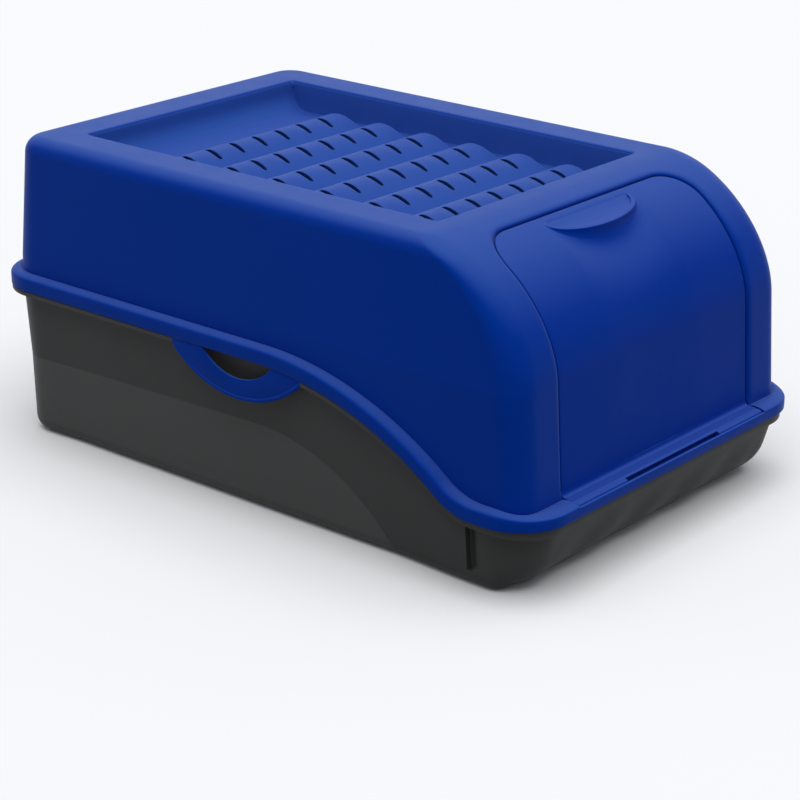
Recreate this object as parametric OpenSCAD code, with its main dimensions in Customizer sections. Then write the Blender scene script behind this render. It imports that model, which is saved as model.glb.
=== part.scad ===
// Potato storage bin: a low-fronted tub, a lift-off hood with a vented top, a drop-down front
// flap and two half-moon side latches. The origin is on the table under the middle of the bin,
// the front faces -Y, the sides face -X and +X, and Z points up. All sizes are millimetres.

/* [Overall] */
// Length over the rim, front to back
bin_l = 480; // [440:1:540]
// Width over the rim
bin_w = 311; // [290:1:340]
// Height from the table to the flat top
bin_h = 216; // [206:1:236]
// Wall thickness of the tub and the hood
wall_t = 2.5; // [2:0.1:3]

/* [Rim line] */
// Height of the rim's lower edge along the back half
rim_rear_z = 110.3; // [104:0.1:114]
// Height of the rim's lower edge along the front
rim_front_z = 49.8; // [47:0.1:54]
// Radius of the upper, rounded bend where the rim starts to fall
fall_upper_r = 250; // [200:1:280]
// Radius of the lower, hollow bend where the fall ends
fall_lower_r = 47; // [35:1:60]
// Distance from the front of the rim to the foot of the fall
fall_foot = 45.5; // [40:0.5:60]

/* [Rolled rim] */
// Corner radius of the rim, seen from above
rim_corner_r = 36; // [33:1:44]
// How far the rim stands out from the side and rear walls
rim_side_out = 8.6; // [8:0.1:10]
// How far the rim stands out from the front wall
rim_front_out = 13.7; // [12.5:0.1:15]
// Upright part of the rim at the sides and the rear
rim_side_skirt = 7.6; // [7.2:0.1:7.8]
// Full height of the rim at the sides and the rear
rim_side_h = 11.8; // [11.4:0.1:13]
// Upright part of the rim at the front
rim_front_skirt = 6.5; // [6:0.1:7]
// Full height of the rim at the front
rim_front_h = 9.5; // [9.2:0.1:10.5]
// Thickness of the hood's rolled rim
rim_t = 2.4; // [2:0.1:2.8]
// How far the tub's flange shows below the hood's rim
flange_show = 5; // [3:0.1:7]
// Thickness of the tub's rolled flange
flange_t = 2.2; // [1.8:0.1:2.4]
// Gap between the hood's rim and the tub's flange where they nest
nest_gap = 0.3; // [0.2:0.05:0.5]
// Upward set of the tub's flange at the front, under the hinge sill
front_flange_z = 0; // [-1:0.1:0.1]

/* [Tub] */
// Lean of the upper band of the tub's wall
band_draft = 4.9; // [3:0.1:6]
// Lean of the lower panel of the tub's wall
panel_draft = 1.7; // [0.5:0.1:2.5]
// Radius between the floor and the side walls
floor_r = 10; // [6:1:14]
// Radius between the floor and the front wall
front_floor_r = 24; // [18:1:26]
// Corner radius of the tub's front corners, seen from above
tub_front_r = 34; // [32:1:40]
// Height of the crease between band and panel at its highest point
crease_z = 78; // [60:1:84]
// Where the crease starts to fall, measured from the middle towards the back
crease_y = 50; // [20:1:80]
// Radius of the falling crease
crease_r = 192; // [185:1:230]
// Fall of the crease towards the rear, in millimetres per millimetre
crease_fall = 0.05; // [0:0.01:0.08]
// Spacing of the upright flutes in the low front wall
flute_pitch = 54; // [40:1:60]
// Depth of the flutes
flute_d = 1.4; // [0.4:0.1:2]
// Distance from the front of the rim to the deep side of the corner groove
groove_back = 57; // [54:1:64]
// Length of the groove along the side
groove_l = 11.5; // [8:0.5:14]
// Depth of the groove at its deep side
groove_d = 3.5; // [2:0.1:4.5]
// Height of the groove's foot above the table
groove_z = 11; // [11:1:20]

/* [Hood] */
// Height above the rim's lower edge from which the hood's sides and rear lean in
lean_up = 19; // [16:0.5:22]
// Lean of the hood's side and rear walls
hood_draft = 4.2; // [2:0.1:5]
// Lean of the lower, straight part of the front
front_draft = 3.7; // [2:0.1:5]
// Radius of the long edges of the top
top_edge_r = 11; // [8:1:13]
// Height of the front arch, from its spring to the flat top
arch_rise = 85; // [78:1:92]
// Depth of the front arch, front to back
arch_depth = 87; // [75:1:95]
// Fullness of the arch, where 2 is an ellipse
arch_power = 1.77; // [1.6:0.01:2]
// Radius of the upright edges between the front and the sides
cheek_r = 18; // [15:1:22]

/* [Vent] */
// Width of the recess in the top
vent_w = 209; // [190:1:220]
// Length of the recess in the top
vent_l = 317.4; // [300:0.1:322]
// Flat land between the arch and the recess
vent_land = 9.6; // [6:0.1:12]
// Depth of the recess to the valleys between the ridges
vent_depth = 23.2; // [20:0.1:26]
// Height of the ridges
ridge_h = 10.8; // [8:0.1:12]
// Spacing of the ridges
ridge_pitch = 42.5; // [38:0.1:46]
// Length of each ridge, across the bin
ridge_l = 184; // [160:1:186]
// Radius of the cove at the rear and front of the recess
cove_r = 15; // [8:1:16]
// Flat floor between the rear wall and the first ridge
rear_flat = 45.2; // [35:0.1:50]
// Width of a vent slit
slit_w = 2.4; // [1.5:0.1:3.5]
// Length of a vent slit
slit_l = 17; // [12:0.5:19]
// Spacing of the slits along a ridge
slit_pitch = 23; // [18:0.5:30]
// Plain length at each end of a ridge, outside its slits
slit_land = 20; // [12:0.5:24]

/* [Front flap] */
// Width of the flap
flap_w = 208; // [190:1:212]
// Thickness of the flap
flap_t = 2.5; // [2:0.1:2.8]
// Distance from the end of the arch forward to the top of the flap's opening
flap_land = 21.2; // [18:0.1:26]
// Gap between the flap and the frame, all round
flap_gap = 1.2; // [0.8:0.1:1.6]
// Depth of the flap's face below the frame
flap_sink = 1.6; // [1:0.1:2]
// Radius of the flap's upper corners
flap_corner_r = 25.5; // [12:0.5:28]
// Width of the landing ledge behind the edge of the flap
ledge_w = 6; // [4:0.5:8]
// Thickness of the landing ledge
ledge_t = 2; // [1.5:0.1:2.5]
// Thickness of the return wall between the frame and the ledge
return_t = 2.2; // [1.8:0.1:3]
// Gap between the closed flap and its ledge
seat_gap = 0.3; // [0.2:0.05:0.5]

/* [Flap hinge] */
// Radius of the hinge barrel along the flap's foot
barrel_r = 2.6; // [2.3:0.1:2.7]
// Radius of the two hinge pins
pin_r = 1.2; // [1:0.05:1.3]
// Length of each hinge pin
pin_l = 4; // [3:0.5:5]
// Running clearance round the hinge pins
pin_gap = 0.07; // [0.05:0.01:0.1]
// Running clearance round the hinge barrel
barrel_gap = 0.3; // [0.3:0.05:0.4]
// Distance from the front of the rim to the hinge axis
hinge_in = 4.2; // [4.1:0.1:4.4]
// Height of the hinge axis above the rim's lower edge
hinge_up = 5.4; // [5.3:0.1:5.6]
// Thickness of the boss that holds each pin, beyond the flap's opening
hinge_boss = 8; // [6:0.5:10]
// Length of the open slot in the middle of the flap's foot
slot_l = 104; // [60:1:150]
// Number of fine ribs along the foot
rib_n = 5; // [3:1:6]
// Height of the ribs
rib_h = 0.4; // [0.2:0.1:0.5]

/* [Flap grip] */
// Width of the crescent grip
grip_w = 94; // [70:1:110]
// How far the grip reaches forward from its straight edge
grip_out = 18; // [14:0.5:20]
// Distance of the grip's straight edge below the flap's top edge
grip_down = 6; // [4:0.5:10]
// Slope of the grip's top
grip_slope = 14; // [8:1:18]
// Thickness of the grip at its lip
grip_t = 7; // [5:0.1:8]
// Height of the raised lip along the grip's edge
lip_h = 1.2; // [0.6:0.1:1.6]
// Width of the raised lip
lip_w = 3.5; // [2.5:0.1:5]
// Radius of the finger scoop under the grip
scoop_r = 50; // [40:1:60]
// Depth of the finger scoop
scoop_d = 4.5; // [3:0.5:6]

/* [Side latches] */
// Radius of the latch's outer arc
latch_r = 74; // [66:1:84]
// How far the latch hangs below the rim
latch_drop = 28.5; // [25:0.5:32]
// Radius of the finger hole's arc
hole_r = 40.6; // [36:0.1:46]
// Depth of the finger hole below the rim
hole_drop = 14.8; // [12:0.1:17]
// Thickness of the latch
latch_t = 1.8; // [1.4:0.1:1.9]
// Height of the bead along the latch's outer arc
bead_h = 0.6; // [0.3:0.1:0.6]
// Width of that bead
bead_w = 2.6; // [1.5:0.1:4]
// Place of the latch's middle, measured from the middle of the bin
latch_y = 1; // [-5:0.5:20]
// Gap between the latch and the rim's lower edge
latch_gap = 0.5; // [0.45:0.05:0.6]
// Radius of the round edge along the latch's hinge line
latch_edge_r = 0.5; // [0.4:0.05:0.6]

/* [Hidden] */
eps = 0.01;
corner_n = 6;
arc_fn = 96;
half_l = bin_l / 2;
half_w = bin_w / 2;

// The falling rim line, as a height for each place along the bin
fall_drop = rim_rear_z - rim_front_z;
fall_angle = acos(1 - fall_drop / (fall_upper_r + fall_lower_r));
fall_run = (fall_upper_r + fall_lower_r) * sin(fall_angle);
fall_end_y = -half_l + fall_foot;
function rim_z(y) =
    let (e = y - fall_end_y)
    e <= 0 ? rim_front_z
    : e < fall_lower_r * sin(fall_angle)
        ? rim_front_z + fall_lower_r - sqrt(pow(fall_lower_r, 2) - e * e)
    : e < fall_run
        ? rim_rear_z - fall_upper_r + sqrt(pow(fall_upper_r, 2) - pow(fall_run - e, 2))
    : rim_rear_z;

// Stations round the bin, the same for every ring: corners, sides and the front edge
function mix(a, b, t) = a + (b - a) * t;
function ease(t) = let (u = min(1, max(0, t))) u * u * (3 - 2 * u);
side_lo_y = -half_l + rim_corner_r;
side_hi_y = half_l - rim_corner_r;
lower_bend = [for (i = [0:4]) fall_end_y + fall_lower_r * sin(fall_angle * i / 4)];
upper_bend = [for (i = [6:-1:0]) fall_end_y + fall_run - fall_upper_r * sin(fall_angle * i / 7)];
side_y = [for (y = concat(lower_bend, upper_bend)) if (y > side_lo_y + 1 && y < side_hi_y - 1) y];
side_t = [for (y = side_y) (y - side_lo_y) / (side_hi_y - side_lo_y)];
side_n = len(side_t);

// One ring: half-width, front and rear places, corner radii, and how the front edge is divided
function corner(cx, cy, r, a0) =
    [for (i = [0:corner_n]) let (a = a0 + 90 * i / corner_n) [cx + r * cos(a), cy + r * sin(a)]];
function ring(hx, yf, yr, rf, rr, fn) = concat(
    corner(hx - rf, yf + rf, rf, -90),
    [for (t = side_t) [hx, mix(yf + rf, yr - rr, t)]],
    corner(hx - rr, yr - rr, rr, 0),
    corner(-hx + rr, yr - rr, rr, 90),
    [for (i = [side_n - 1:-1:0]) [-hx, mix(yf + rf, yr - rr, side_t[i])]],
    corner(-hx + rf, yf + rf, rf, 180),
    [for (i = [1:1:fn - 1]) [mix(-hx + rf, hx - rf, i / fn), yf]]);
function normals(fn) = concat(
    corner(0, 0, 1, -90),
    [for (t = side_t) [1, 0]],
    corner(0, 0, 1, 0),
    corner(0, 0, 1, 90),
    [for (t = side_t) [-1, 0]],
    corner(0, 0, 1, 180),
    [for (i = [1:1:fn - 1]) [0, -1]]);
function raise(plan, heights) = [for (i = [0:len(plan) - 1]) [plan[i][0], plan[i][1], heights[i]]];

// The rim path and the wall line that it springs from
function rim_ring(inset, fn) = ring(half_w - inset, -half_l + inset, half_l - inset,
    rim_corner_r - inset, rim_corner_r - inset, fn);
wall_x = half_w - rim_side_out;
wall_front_y = -half_l + rim_front_out;
wall_rear_y = half_l - rim_side_out;
wall_rear_r = rim_corner_r - rim_side_out;
function wall_ring(inset, front_r, fn) = ring(wall_x - inset, wall_front_y + inset,
    wall_rear_y - inset, front_r - inset, wall_rear_r - inset, fn);
// How much of the front's shape a station has: none at the sides, all along the front
function front_share(p) = ease((side_lo_y - p[1]) / (rim_corner_r * 0.9));

// A closed skin through rings of equal length, capped at both ends
module loft(rows, flip) {
    n = len(rows[0]);
    points = [for (row = rows) each row];
    sides = [for (k = [0:len(rows) - 2]) for (i = [0:n - 1])
        let (a = k * n + i, b = k * n + (i + 1) % n)
        each [[a, a + n, b + n], [a, b + n, b]]];
    first = [for (i = [0:n - 1]) i];
    last = [for (i = [n - 1:-1:0]) (len(rows) - 1) * n + i];
    faces = concat(sides, [first], [last]);
    polyhedron(points, flip ? [for (f = faces) [for (i = [len(f) - 1:-1:0]) f[i]]] : faces);
}

// The rolled rim, as rings from its upright foot to the wall, or back down
roll_angles = [0, 22.5, 45, 67.5, 90];
function roll_row(foot, wall, angle, skirt, height) =
    [for (i = [0:len(foot) - 1])
        let (t = 1 - cos(angle))
        [mix(foot[i][0], wall[i][0], t), mix(foot[i][1], wall[i][1], t),
            base_z(foot[i]) + skirt[i] + height[i] * sin(angle)]];
function base_z(p) = rim_z(p[1]);

// Tub
tub_fn = 24;
tub_n = normals(tub_fn);
tub_wall = wall_ring(0, tub_front_r, tub_fn);
tub_wall_in = wall_ring(wall_t, tub_front_r, tub_fn);
tub_rim = rim_ring(0, tub_fn);
tub_share = [for (p = tub_rim) front_share(p)];
tub_base = [for (p = tub_rim) base_z(p)];
flange_side_h = max(1.2, rim_side_h - rim_side_skirt - rim_t - nest_gap);
flange_side_skirt = rim_side_h - rim_t - nest_gap - flange_side_h;
flange_front_h = flange_t - 0.1;
flange_skirt = [for (w = tub_share) mix(flange_side_skirt, front_flange_z - flange_front_h, w)];
flange_h = [for (w = tub_share) mix(flange_side_h, flange_front_h, w)];
flange_inset = rim_t + nest_gap + 0.1;

function crease_at(y) =
    y > crease_y ? crease_z - crease_fall * (y - crease_y)
    : crease_y - y < crease_r ? crease_z - crease_r + sqrt(pow(crease_r, 2) - pow(crease_y - y, 2))
    : crease_z - crease_r;
// How far the wall stands in from the wall line at a height, before the floor's rounding
function wall_in(y, z, top) =
    let (c = crease_at(y))
    z >= c ? tan(band_draft) * (top - z)
    : tan(band_draft) * (top - c) + tan(panel_draft) * (c - z);
function bend_in(r, z) = z < r ? r - sqrt(r * r - pow(r - z, 2)) : 0;
function flute(x, z) =
    abs(x) > 2 * flute_pitch || z < 1 ? 0
    : flute_d * (1 - cos(360 * x / flute_pitch)) / 2 * ease(z / 8) * ease((rim_front_z - 4 - z) / 25);
function tub_row(z, inset, fluted) =
    [for (i = [0:len(tub_wall) - 1])
        let (p = tub_wall[i], w = tub_share[i], zz = max(z, inset + eps),
            bend = mix(bend_in(floor_r, zz), bend_in(front_floor_r, zz), w),
            thick = inset * (1 - min(1, bend / front_floor_r) * 0.3),
            e = wall_in(p[1], z, tub_base[i]) + bend + (inset > 0 ? thick : 0),
            f = fluted && w > 0.99 ? flute(p[0], z) : 0)
        [p[0] - tub_n[i][0] * e, p[1] - tub_n[i][1] * (e + f), z]];
function tub_crease_row(inset) =
    [for (i = [0:len(tub_wall) - 1])
        let (p = tub_wall[i], z = max(crease_at(p[1]), front_floor_r + 2),
            e = wall_in(p[1], z, tub_base[i]) + inset)
        [p[0] - tub_n[i][0] * e, p[1] - tub_n[i][1] * e, z]];
low_z = [0, 0.9, 3.4, 7, 11, 17, 24];
in_z = [24, 17, 11, 7];
module tub_shell() {
    under = [for (h = flange_h) max(0, h - flange_t)];
    wall_top = raise(tub_wall, [for (i = [0:len(tub_wall) - 1])
        tub_base[i] + flange_skirt[i] + under[i]]);
    foot_in = rim_ring(flange_inset + flange_t, tub_fn);
    foot_out = rim_ring(flange_inset, tub_fn);
    lip_z = [for (z = tub_base) z - flange_show];
    rows = concat(
        [for (z = low_z) tub_row(z, 0, true)],
        [tub_crease_row(0)],
        [wall_top],
        [for (a = [67.5, 45, 22.5, 0]) roll_row(foot_in, tub_wall, a, flange_skirt, under)],
        [raise(foot_in, lip_z)],
        [raise(foot_out, lip_z)],
        [for (a = roll_angles) roll_row(foot_out, tub_wall_in, a, flange_skirt, flange_h)],
        [tub_crease_row(wall_t)],
        [for (z = in_z) tub_row(z, wall_t, false)],
        [tub_row(wall_t, wall_t + 1, false)]);
    loft(rows, false);
}
// The upright groove just behind each front corner, with the wall thickened behind it
groove_mid_z = (groove_z + rim_front_z - flange_show) / 2;
groove_half_h = groove_mid_z - groove_z;
module at_groove() {
    translate([-wall_x + tan(band_draft) * (rim_front_z - groove_mid_z), -half_l + groove_back,
        groove_mid_z])
        rotate([0, -band_draft, 0])
            children();
}
// Two upright bars, one deep and one shallow, joined into a tapering groove
module groove_bar(y, depth, r, z0, z1) {
    translate([depth - r, y - r, z0]) cylinder(r = r, h = z1 - z0, $fn = 16);
}
module groove_cut() {
    slot_l = groove_l * 0.4;
    at_groove() {
        hull() {
            groove_bar(0, groove_d, 0.8, -groove_half_h, groove_half_h);
            groove_bar(0, -3, 0.8, -groove_half_h, groove_half_h);
            groove_bar(-slot_l + 1.6, groove_d - 0.6, 0.8, -groove_half_h, groove_half_h);
            groove_bar(-slot_l + 1.6, -3, 0.8, -groove_half_h, groove_half_h);
        }
        hull() {
            groove_bar(-slot_l, groove_d * 0.5, 0.8, -groove_half_h + 1, groove_half_h);
            groove_bar(-1, -3, 0.8, -groove_half_h + 1, groove_half_h);
            groove_bar(-groove_l, 0.3, 0.8, -groove_half_h + 1, groove_half_h);
            groove_bar(-groove_l, -3, 0.8, -groove_half_h + 1, groove_half_h);
        }
    }
}
module groove_pad() {
    pad_h = groove_half_h + 1.5;
    at_groove() {
        hull() {
            groove_bar(wall_t, groove_d + wall_t, 0.8, -pad_h, pad_h);
            groove_bar(wall_t, wall_t, 0.8, -pad_h, pad_h);
        }
        hull() {
            groove_bar(wall_t, groove_d + wall_t, 0.8, -pad_h, pad_h);
            groove_bar(wall_t, wall_t, 0.8, -pad_h, pad_h);
            groove_bar(-groove_l - 1, wall_t, 0.8, -pad_h, pad_h);
            groove_bar(-groove_l * 0.4, groove_d + wall_t - 0.6, 0.8, -pad_h, pad_h);
        }
    }
}
module tub() {
    color("#3a3a3a")
        difference() {
            union() {
                tub_shell();
                groove_pad();
                mirror([1, 0, 0]) groove_pad();
            }
            groove_cut();
            mirror([1, 0, 0]) groove_cut();
        }
}

// Hood
arch_z = bin_h - arch_rise;
front_top_y = wall_front_y + tan(front_draft) * (arch_z - rim_front_z - rim_front_h);
arch_cy = front_top_y + arch_depth;
arch_angles = [0, 8, 16, 24, 32, 40, 48, 56, 64, 72, 81, 90];
// A point of the front's outline, at an angle round the arch and a depth below the surface
function arch_pt(a, depth) = [
    arch_cy - (arch_depth - depth) * pow(cos(a), 2 / arch_power),
    arch_z + (arch_rise - depth) * pow(sin(a), 2 / arch_power)];
hood_fn = 1;
hood_rim = rim_ring(0, hood_fn);
hood_share = [for (p = hood_rim) front_share(p)];
hood_base = [for (p = hood_rim) base_z(p)];
hood_skirt = [for (w = hood_share) mix(rim_side_skirt, rim_front_skirt, w)];
hood_roll = [for (w = hood_share)
    mix(rim_side_h - rim_side_skirt, rim_front_h - rim_front_skirt, w)];
hood_front_r = wall_rear_r - 6;
// How far the sides stand in at a height, from their lean and the rounding of the top edge
lean_from_z = rim_rear_z + lean_up;
function hood_in(z, depth) =
    let (s = z - (bin_h - top_edge_r), r = top_edge_r - depth)
    tan(hood_draft) * (z - lean_from_z) + depth + (s > 0 ? r - sqrt(max(0, r * r - s * s)) : 0);
function hood_row(a, depth) =
    let (p = arch_pt(a, depth), e = hood_in(p[1], depth), bend = e - tan(hood_draft) * (p[1] - lean_from_z))
    raise(ring(wall_x - e, p[0], wall_rear_y - e, max(3, cheek_r - bend), max(3, wall_rear_r - e),
        hood_fn), [for (q = hood_rim) p[1]]);
module hood_shell() {
    wall_out = wall_ring(0, hood_front_r, hood_fn);
    wall_in = wall_ring(wall_t, hood_front_r, hood_fn);
    foot_out = rim_ring(0, hood_fn);
    foot_in = rim_ring(rim_t, hood_fn);
    roll_in = [for (h = hood_roll) h - rim_t];
    rows = concat(
        [for (i = [len(arch_angles) - 1:-1:0]) hood_row(arch_angles[i], 0)],
        [for (i = [4:-1:0]) roll_row(foot_out, wall_out, roll_angles[i], hood_skirt, hood_roll)],
        [raise(foot_out, hood_base)],
        [raise(foot_in, hood_base)],
        [for (a = roll_angles) roll_row(foot_in, wall_in, a, hood_skirt, roll_in)],
        [for (a = arch_angles) hood_row(a, wall_t)]);
    loft(rows, true);
}

// Shapes drawn from the side are turned so that they run across the bin
module across(width) {
    translate([-width / 2, 0, 0])
        rotate([90, 0, 90])
            linear_extrude(width)
                children();
}

// Vent recess
vent_y0 = arch_cy + vent_land;
vent_y1 = vent_y0 + vent_l;
valley_z = bin_h - vent_depth;
ridge_n = floor((vent_l - rear_flat - cove_r) / ridge_pitch + 0.05);
function ridge_y(i) = vent_y1 - rear_flat - (i + 0.5) * ridge_pitch;
ridge_steps = 12;
function ridge_curve(y0, drop) = [for (k = [0:ridge_steps])
    [y0 - ridge_pitch / 2 + ridge_pitch * k / ridge_steps,
        valley_z + ridge_h * (1 - cos(360 * k / ridge_steps)) / 2 - drop]];
module recess_outline(grow, top) {
    r = cove_r + grow;
    fy = vent_y0 + cove_r;
    ry = vent_y1 - cove_r;
    rz = valley_z + cove_r;
    polygon(concat(
        [[fy - r, top]],
        [for (a = [180:15:270]) [fy + r * cos(a), rz + r * sin(a)]],
        [for (a = [270:15:360]) [ry + r * cos(a), rz + r * sin(a)]],
        [[ry + r, top]]));
}
module vent_tray() {
    across(vent_w + 2 * wall_t) recess_outline(wall_t, bin_h - 1);
}
module vent_ridges() {
    for (i = [0:ridge_n - 1])
        across(ridge_l)
            polygon(concat([[ridge_y(i) - ridge_pitch / 2, valley_z - 1]], ridge_curve(ridge_y(i), 0),
                [[ridge_y(i) + ridge_pitch / 2, valley_z - 1]]));
}
module vent_hollows() {
    for (i = [0:ridge_n - 1])
        across(ridge_l - 2 * wall_t)
            polygon(concat([[ridge_y(i) - ridge_pitch / 2, valley_z - 2 * wall_t]],
                ridge_curve(ridge_y(i), wall_t),
                [[ridge_y(i) + ridge_pitch / 2, valley_z - 2 * wall_t]]));
}
slit_n = floor((ridge_l - 2 * slit_land) / slit_pitch) + 1;
module vent_slits() {
    for (i = [0:ridge_n - 1])
        for (j = [0:slit_n - 1])
            translate([(j - (slit_n - 1) / 2) * slit_pitch, ridge_y(i), valley_z + ridge_h - 3 * wall_t])
                hull()
                    for (s = [-1, 1])
                        translate([0, s * (slit_l - slit_w) / 2, 0])
                            cylinder(r = slit_w / 2, h = 4 * wall_t, $fn = 8);
}

// Opening for the flap, its return walls and the ledge that the flap lands on
foot_z = rim_front_z + rim_front_h;
opening_w = flap_w + 2 * flap_gap;
opening_y = arch_cy - flap_land;
function front_line(depth, z0) = concat(
    [[wall_front_y + depth - tan(front_draft) * (foot_z - z0), z0]],
    [for (a = arch_angles) arch_pt(a, depth)]);
module front_band(outer, inner, width, z0 = foot_z) {
    a = front_line(outer, z0);
    b = front_line(inner, z0);
    across(width)
        polygon(concat(a, [for (i = [len(b) - 1:-1:0]) b[i]]));
}
// The plan of the opening, grown outwards, with its two rear corners rounded
module opening_prism(grow, z0) {
    w = opening_w / 2 + grow;
    r = flap_corner_r + flap_gap + grow;
    y1 = opening_y + grow;
    front = -half_l - 20;
    translate([0, 0, z0])
        linear_extrude(bin_h + 5 - z0)
            polygon(concat(
                [[-w, front], [w, front]],
                [for (a = [0:7.5:90]) [w - r + r * cos(a), y1 - r + r * sin(a)]],
                [for (a = [90:7.5:180]) [-w + r + r * cos(a), y1 - r + r * sin(a)]]));
}
ledge_out = flap_sink + flap_t + seat_gap;
module flap_frame() {
    band_w = opening_w + 20;
    difference() {
        intersection() {
            front_band(wall_t / 2, ledge_out + ledge_t, band_w);
            opening_prism(return_t, foot_z + 1);
        }
        opening_prism(-ledge_w, foot_z);
    }
}

// Hinge sill across the front, under the foot of the flap
hinge_y = -half_l + hinge_in;
hinge_z = rim_front_z + hinge_up;
sill_bottom = rim_front_z + front_flange_z + 0.6;
foot_back_y = wall_front_y + flap_sink + flap_t;
foot_under_front = hinge_z - 0.2;
foot_under_back = foot_z - 2.3;
sill_w = opening_w + 2 * hinge_boss;
sill_front_y = -half_l + rim_t;
sill_top = foot_z - rim_t + 0.4;
// The block that the sill is cut from, and the seat that it fills in the hood
module sill_block() {
    translate([-sill_w / 2, sill_front_y, sill_bottom])
        cube([sill_w, rim_front_out - rim_t + wall_t, sill_top - sill_bottom]);
}
module sill_seat() {
    sill_block();
    translate([0, 0.5, 0]) sill_block();
}
module hinge_channel() {
    translate([-opening_w / 2, hinge_y, hinge_z])
        rotate([0, 90, 0])
            cylinder(r = barrel_r + barrel_gap, h = opening_w, $fn = arc_fn);
    across(opening_w)
        polygon([[hinge_y - barrel_r - barrel_gap, hinge_z], [hinge_y, hinge_z],
            [hinge_y, foot_under_front - barrel_gap], [foot_back_y + seat_gap, foot_under_back - barrel_gap],
            [foot_back_y + seat_gap, foot_z + 20], [hinge_y - barrel_r - barrel_gap, foot_z + 20]]);
}
// The rim is thinned to a lip in front of the barrel, a little wider than the opening
module lip_relief() {
    relief_w = opening_w + 0.8;
    translate([-relief_w / 2, hinge_y - barrel_r - barrel_gap, hinge_z - barrel_r - barrel_gap])
        cube([relief_w, rim_t, 3 * barrel_r]);
}
module hinge_bores() {
    bore_l = pin_l + flap_gap + 0.6;
    for (s = [0, 1])
        mirror([s, 0, 0])
            translate([flap_w / 2 + eps, hinge_y, hinge_z])
                rotate([0, 90, 0])
                    cylinder(r = pin_r + pin_gap, h = bore_l, $fn = arc_fn);
}
module hinge_sill() {
    color("#163a94")
        difference() {
            sill_block();
            hinge_channel();
            hinge_bores();
        }
}
module hood() {
    color("#163a94")
        difference() {
            union() {
                hood_shell();
                vent_tray();
                flap_frame();
            }
            difference() {
                across(vent_w) recess_outline(0, bin_h + 5);
                vent_ridges();
            }
            vent_hollows();
            vent_slits();
            opening_prism_shell();
            sill_seat();
            lip_relief();
        }
}
// Only the skin in front of the ledge is cut away for the flap
module opening_prism_shell() {
    intersection() {
        opening_prism(0, hinge_z - 0.4);
        front_band(-30, ledge_out, opening_w + 20, hinge_z - 1);
    }
}

// Front flap
flap_y = opening_y - flap_gap;
grip_chord_y = flap_y - grip_down;
grip_r = (pow(grip_w / 2, 2) + pow(grip_out, 2)) / (2 * grip_out);
function arch_height(y, depth) =
    let (c = (arch_cy - y) / (arch_depth - depth), a = acos(pow(c, arch_power / 2)))
    arch_pt(a, depth)[1];
grip_z = arch_height(grip_chord_y, flap_sink);
scoop_y = grip_chord_y - grip_out - 3;
scoop_z = arch_height(scoop_y, flap_sink);
scoop_tilt = atan2(arch_height(scoop_y + 1, flap_sink) - arch_height(scoop_y - 1, flap_sink), 2);
module flap_skin() {
    intersection() {
        front_band(flap_sink, flap_sink + flap_t, flap_w);
        opening_prism(-flap_gap, foot_z - 1);
    }
}
module scoop_ball(grow) {
    translate([0, scoop_y, scoop_z])
        rotate([scoop_tilt, 0, 0])
            translate([0, 0, scoop_r - scoop_d])
                sphere(scoop_r + grow, $fn = arc_fn);
}
module flap_interior(depth) {
    across(2 * grip_w)
        polygon(concat([[arch_cy, foot_z]], front_line(depth, foot_z)));
}
// The crescent, drawn in plan from its straight edge forward, then tilted to its slope
module crescent(r, h) {
    linear_extrude(h)
        difference() {
            translate([0, grip_r - grip_out]) circle(r, $fn = arc_fn);
            translate([-grip_w, 0]) square([2 * grip_w, 2 * grip_r]);
        }
}
module flap_grip() {
    translate([0, grip_chord_y, grip_z])
        rotate([grip_slope, 0, 0]) {
            translate([0, 0, -grip_t]) crescent(grip_r, grip_t);
            difference() {
                translate([0, 0, -eps]) crescent(grip_r, lip_h);
                translate([0, 0, -1]) crescent(grip_r - lip_w, lip_h + 2);
            }
        }
}
module flap_foot() {
    difference() {
        union() {
            across(flap_w)
                polygon([[hinge_y, hinge_z + barrel_r], [wall_front_y + flap_sink - 2, foot_z - 0.3],
                    [wall_front_y + flap_sink, foot_z + 1.5], [foot_back_y, foot_z + 1.5],
                    [foot_back_y, foot_under_back], [hinge_y, foot_under_front]]);
            translate([-flap_w / 2, hinge_y, hinge_z])
                rotate([0, 90, 0])
                    cylinder(r = barrel_r, h = flap_w, $fn = arc_fn);
            foot_ribs();
        }
        translate([-slot_l / 2, hinge_y - 2 * barrel_r, hinge_z - barrel_r - 1])
            cube([slot_l, 2 * barrel_r + 0.5, 2 * barrel_r + 2]);
    }
}
module foot_ribs() {
    y0 = hinge_y + barrel_r - 0.6;
    y1 = wall_front_y + flap_sink - 3;
    for (i = [0:rib_n - 1]) {
        y = mix(y0, y1, i / (rib_n - 1));
        z = mix(hinge_z + barrel_r, foot_z - 0.3, max(0, (y - hinge_y) / (y1 + 1 - hinge_y)));
        translate([-flap_w / 2, y - 0.35, z - 1])
            cube([flap_w, 0.7, 1 + rib_h]);
    }
}
module front_flap() {
    color("#143589")
        union() {
            difference() {
                union() {
                    flap_skin();
                    intersection() {
                        scoop_ball(flap_t);
                        flap_interior(flap_sink + 1);
                    }
                }
                scoop_ball(0);
            }
            difference() {
                flap_grip();
                flap_interior(flap_sink + flap_t - 0.2);
            }
            flap_foot();
            for (s = [0, 1])
                mirror([s, 0, 0])
                    translate([flap_w / 2 - 1, hinge_y, hinge_z])
                        rotate([0, 90, 0])
                            cylinder(r = pin_r, h = pin_l + 1, $fn = arc_fn);
        }
}

// Side latches
latch_axis_x = half_w - bead_h;
latch_axis_z = rim_rear_z - latch_gap - latch_edge_r;
latch_cz = rim_rear_z - latch_drop + latch_r;
hole_cz = rim_rear_z - hole_drop + hole_r;
hole_half = sqrt(pow(hole_r, 2) - pow(hole_r - hole_drop, 2));
latch_half = sqrt(pow(latch_r, 2) - pow(latch_cz - latch_axis_z, 2));
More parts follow.
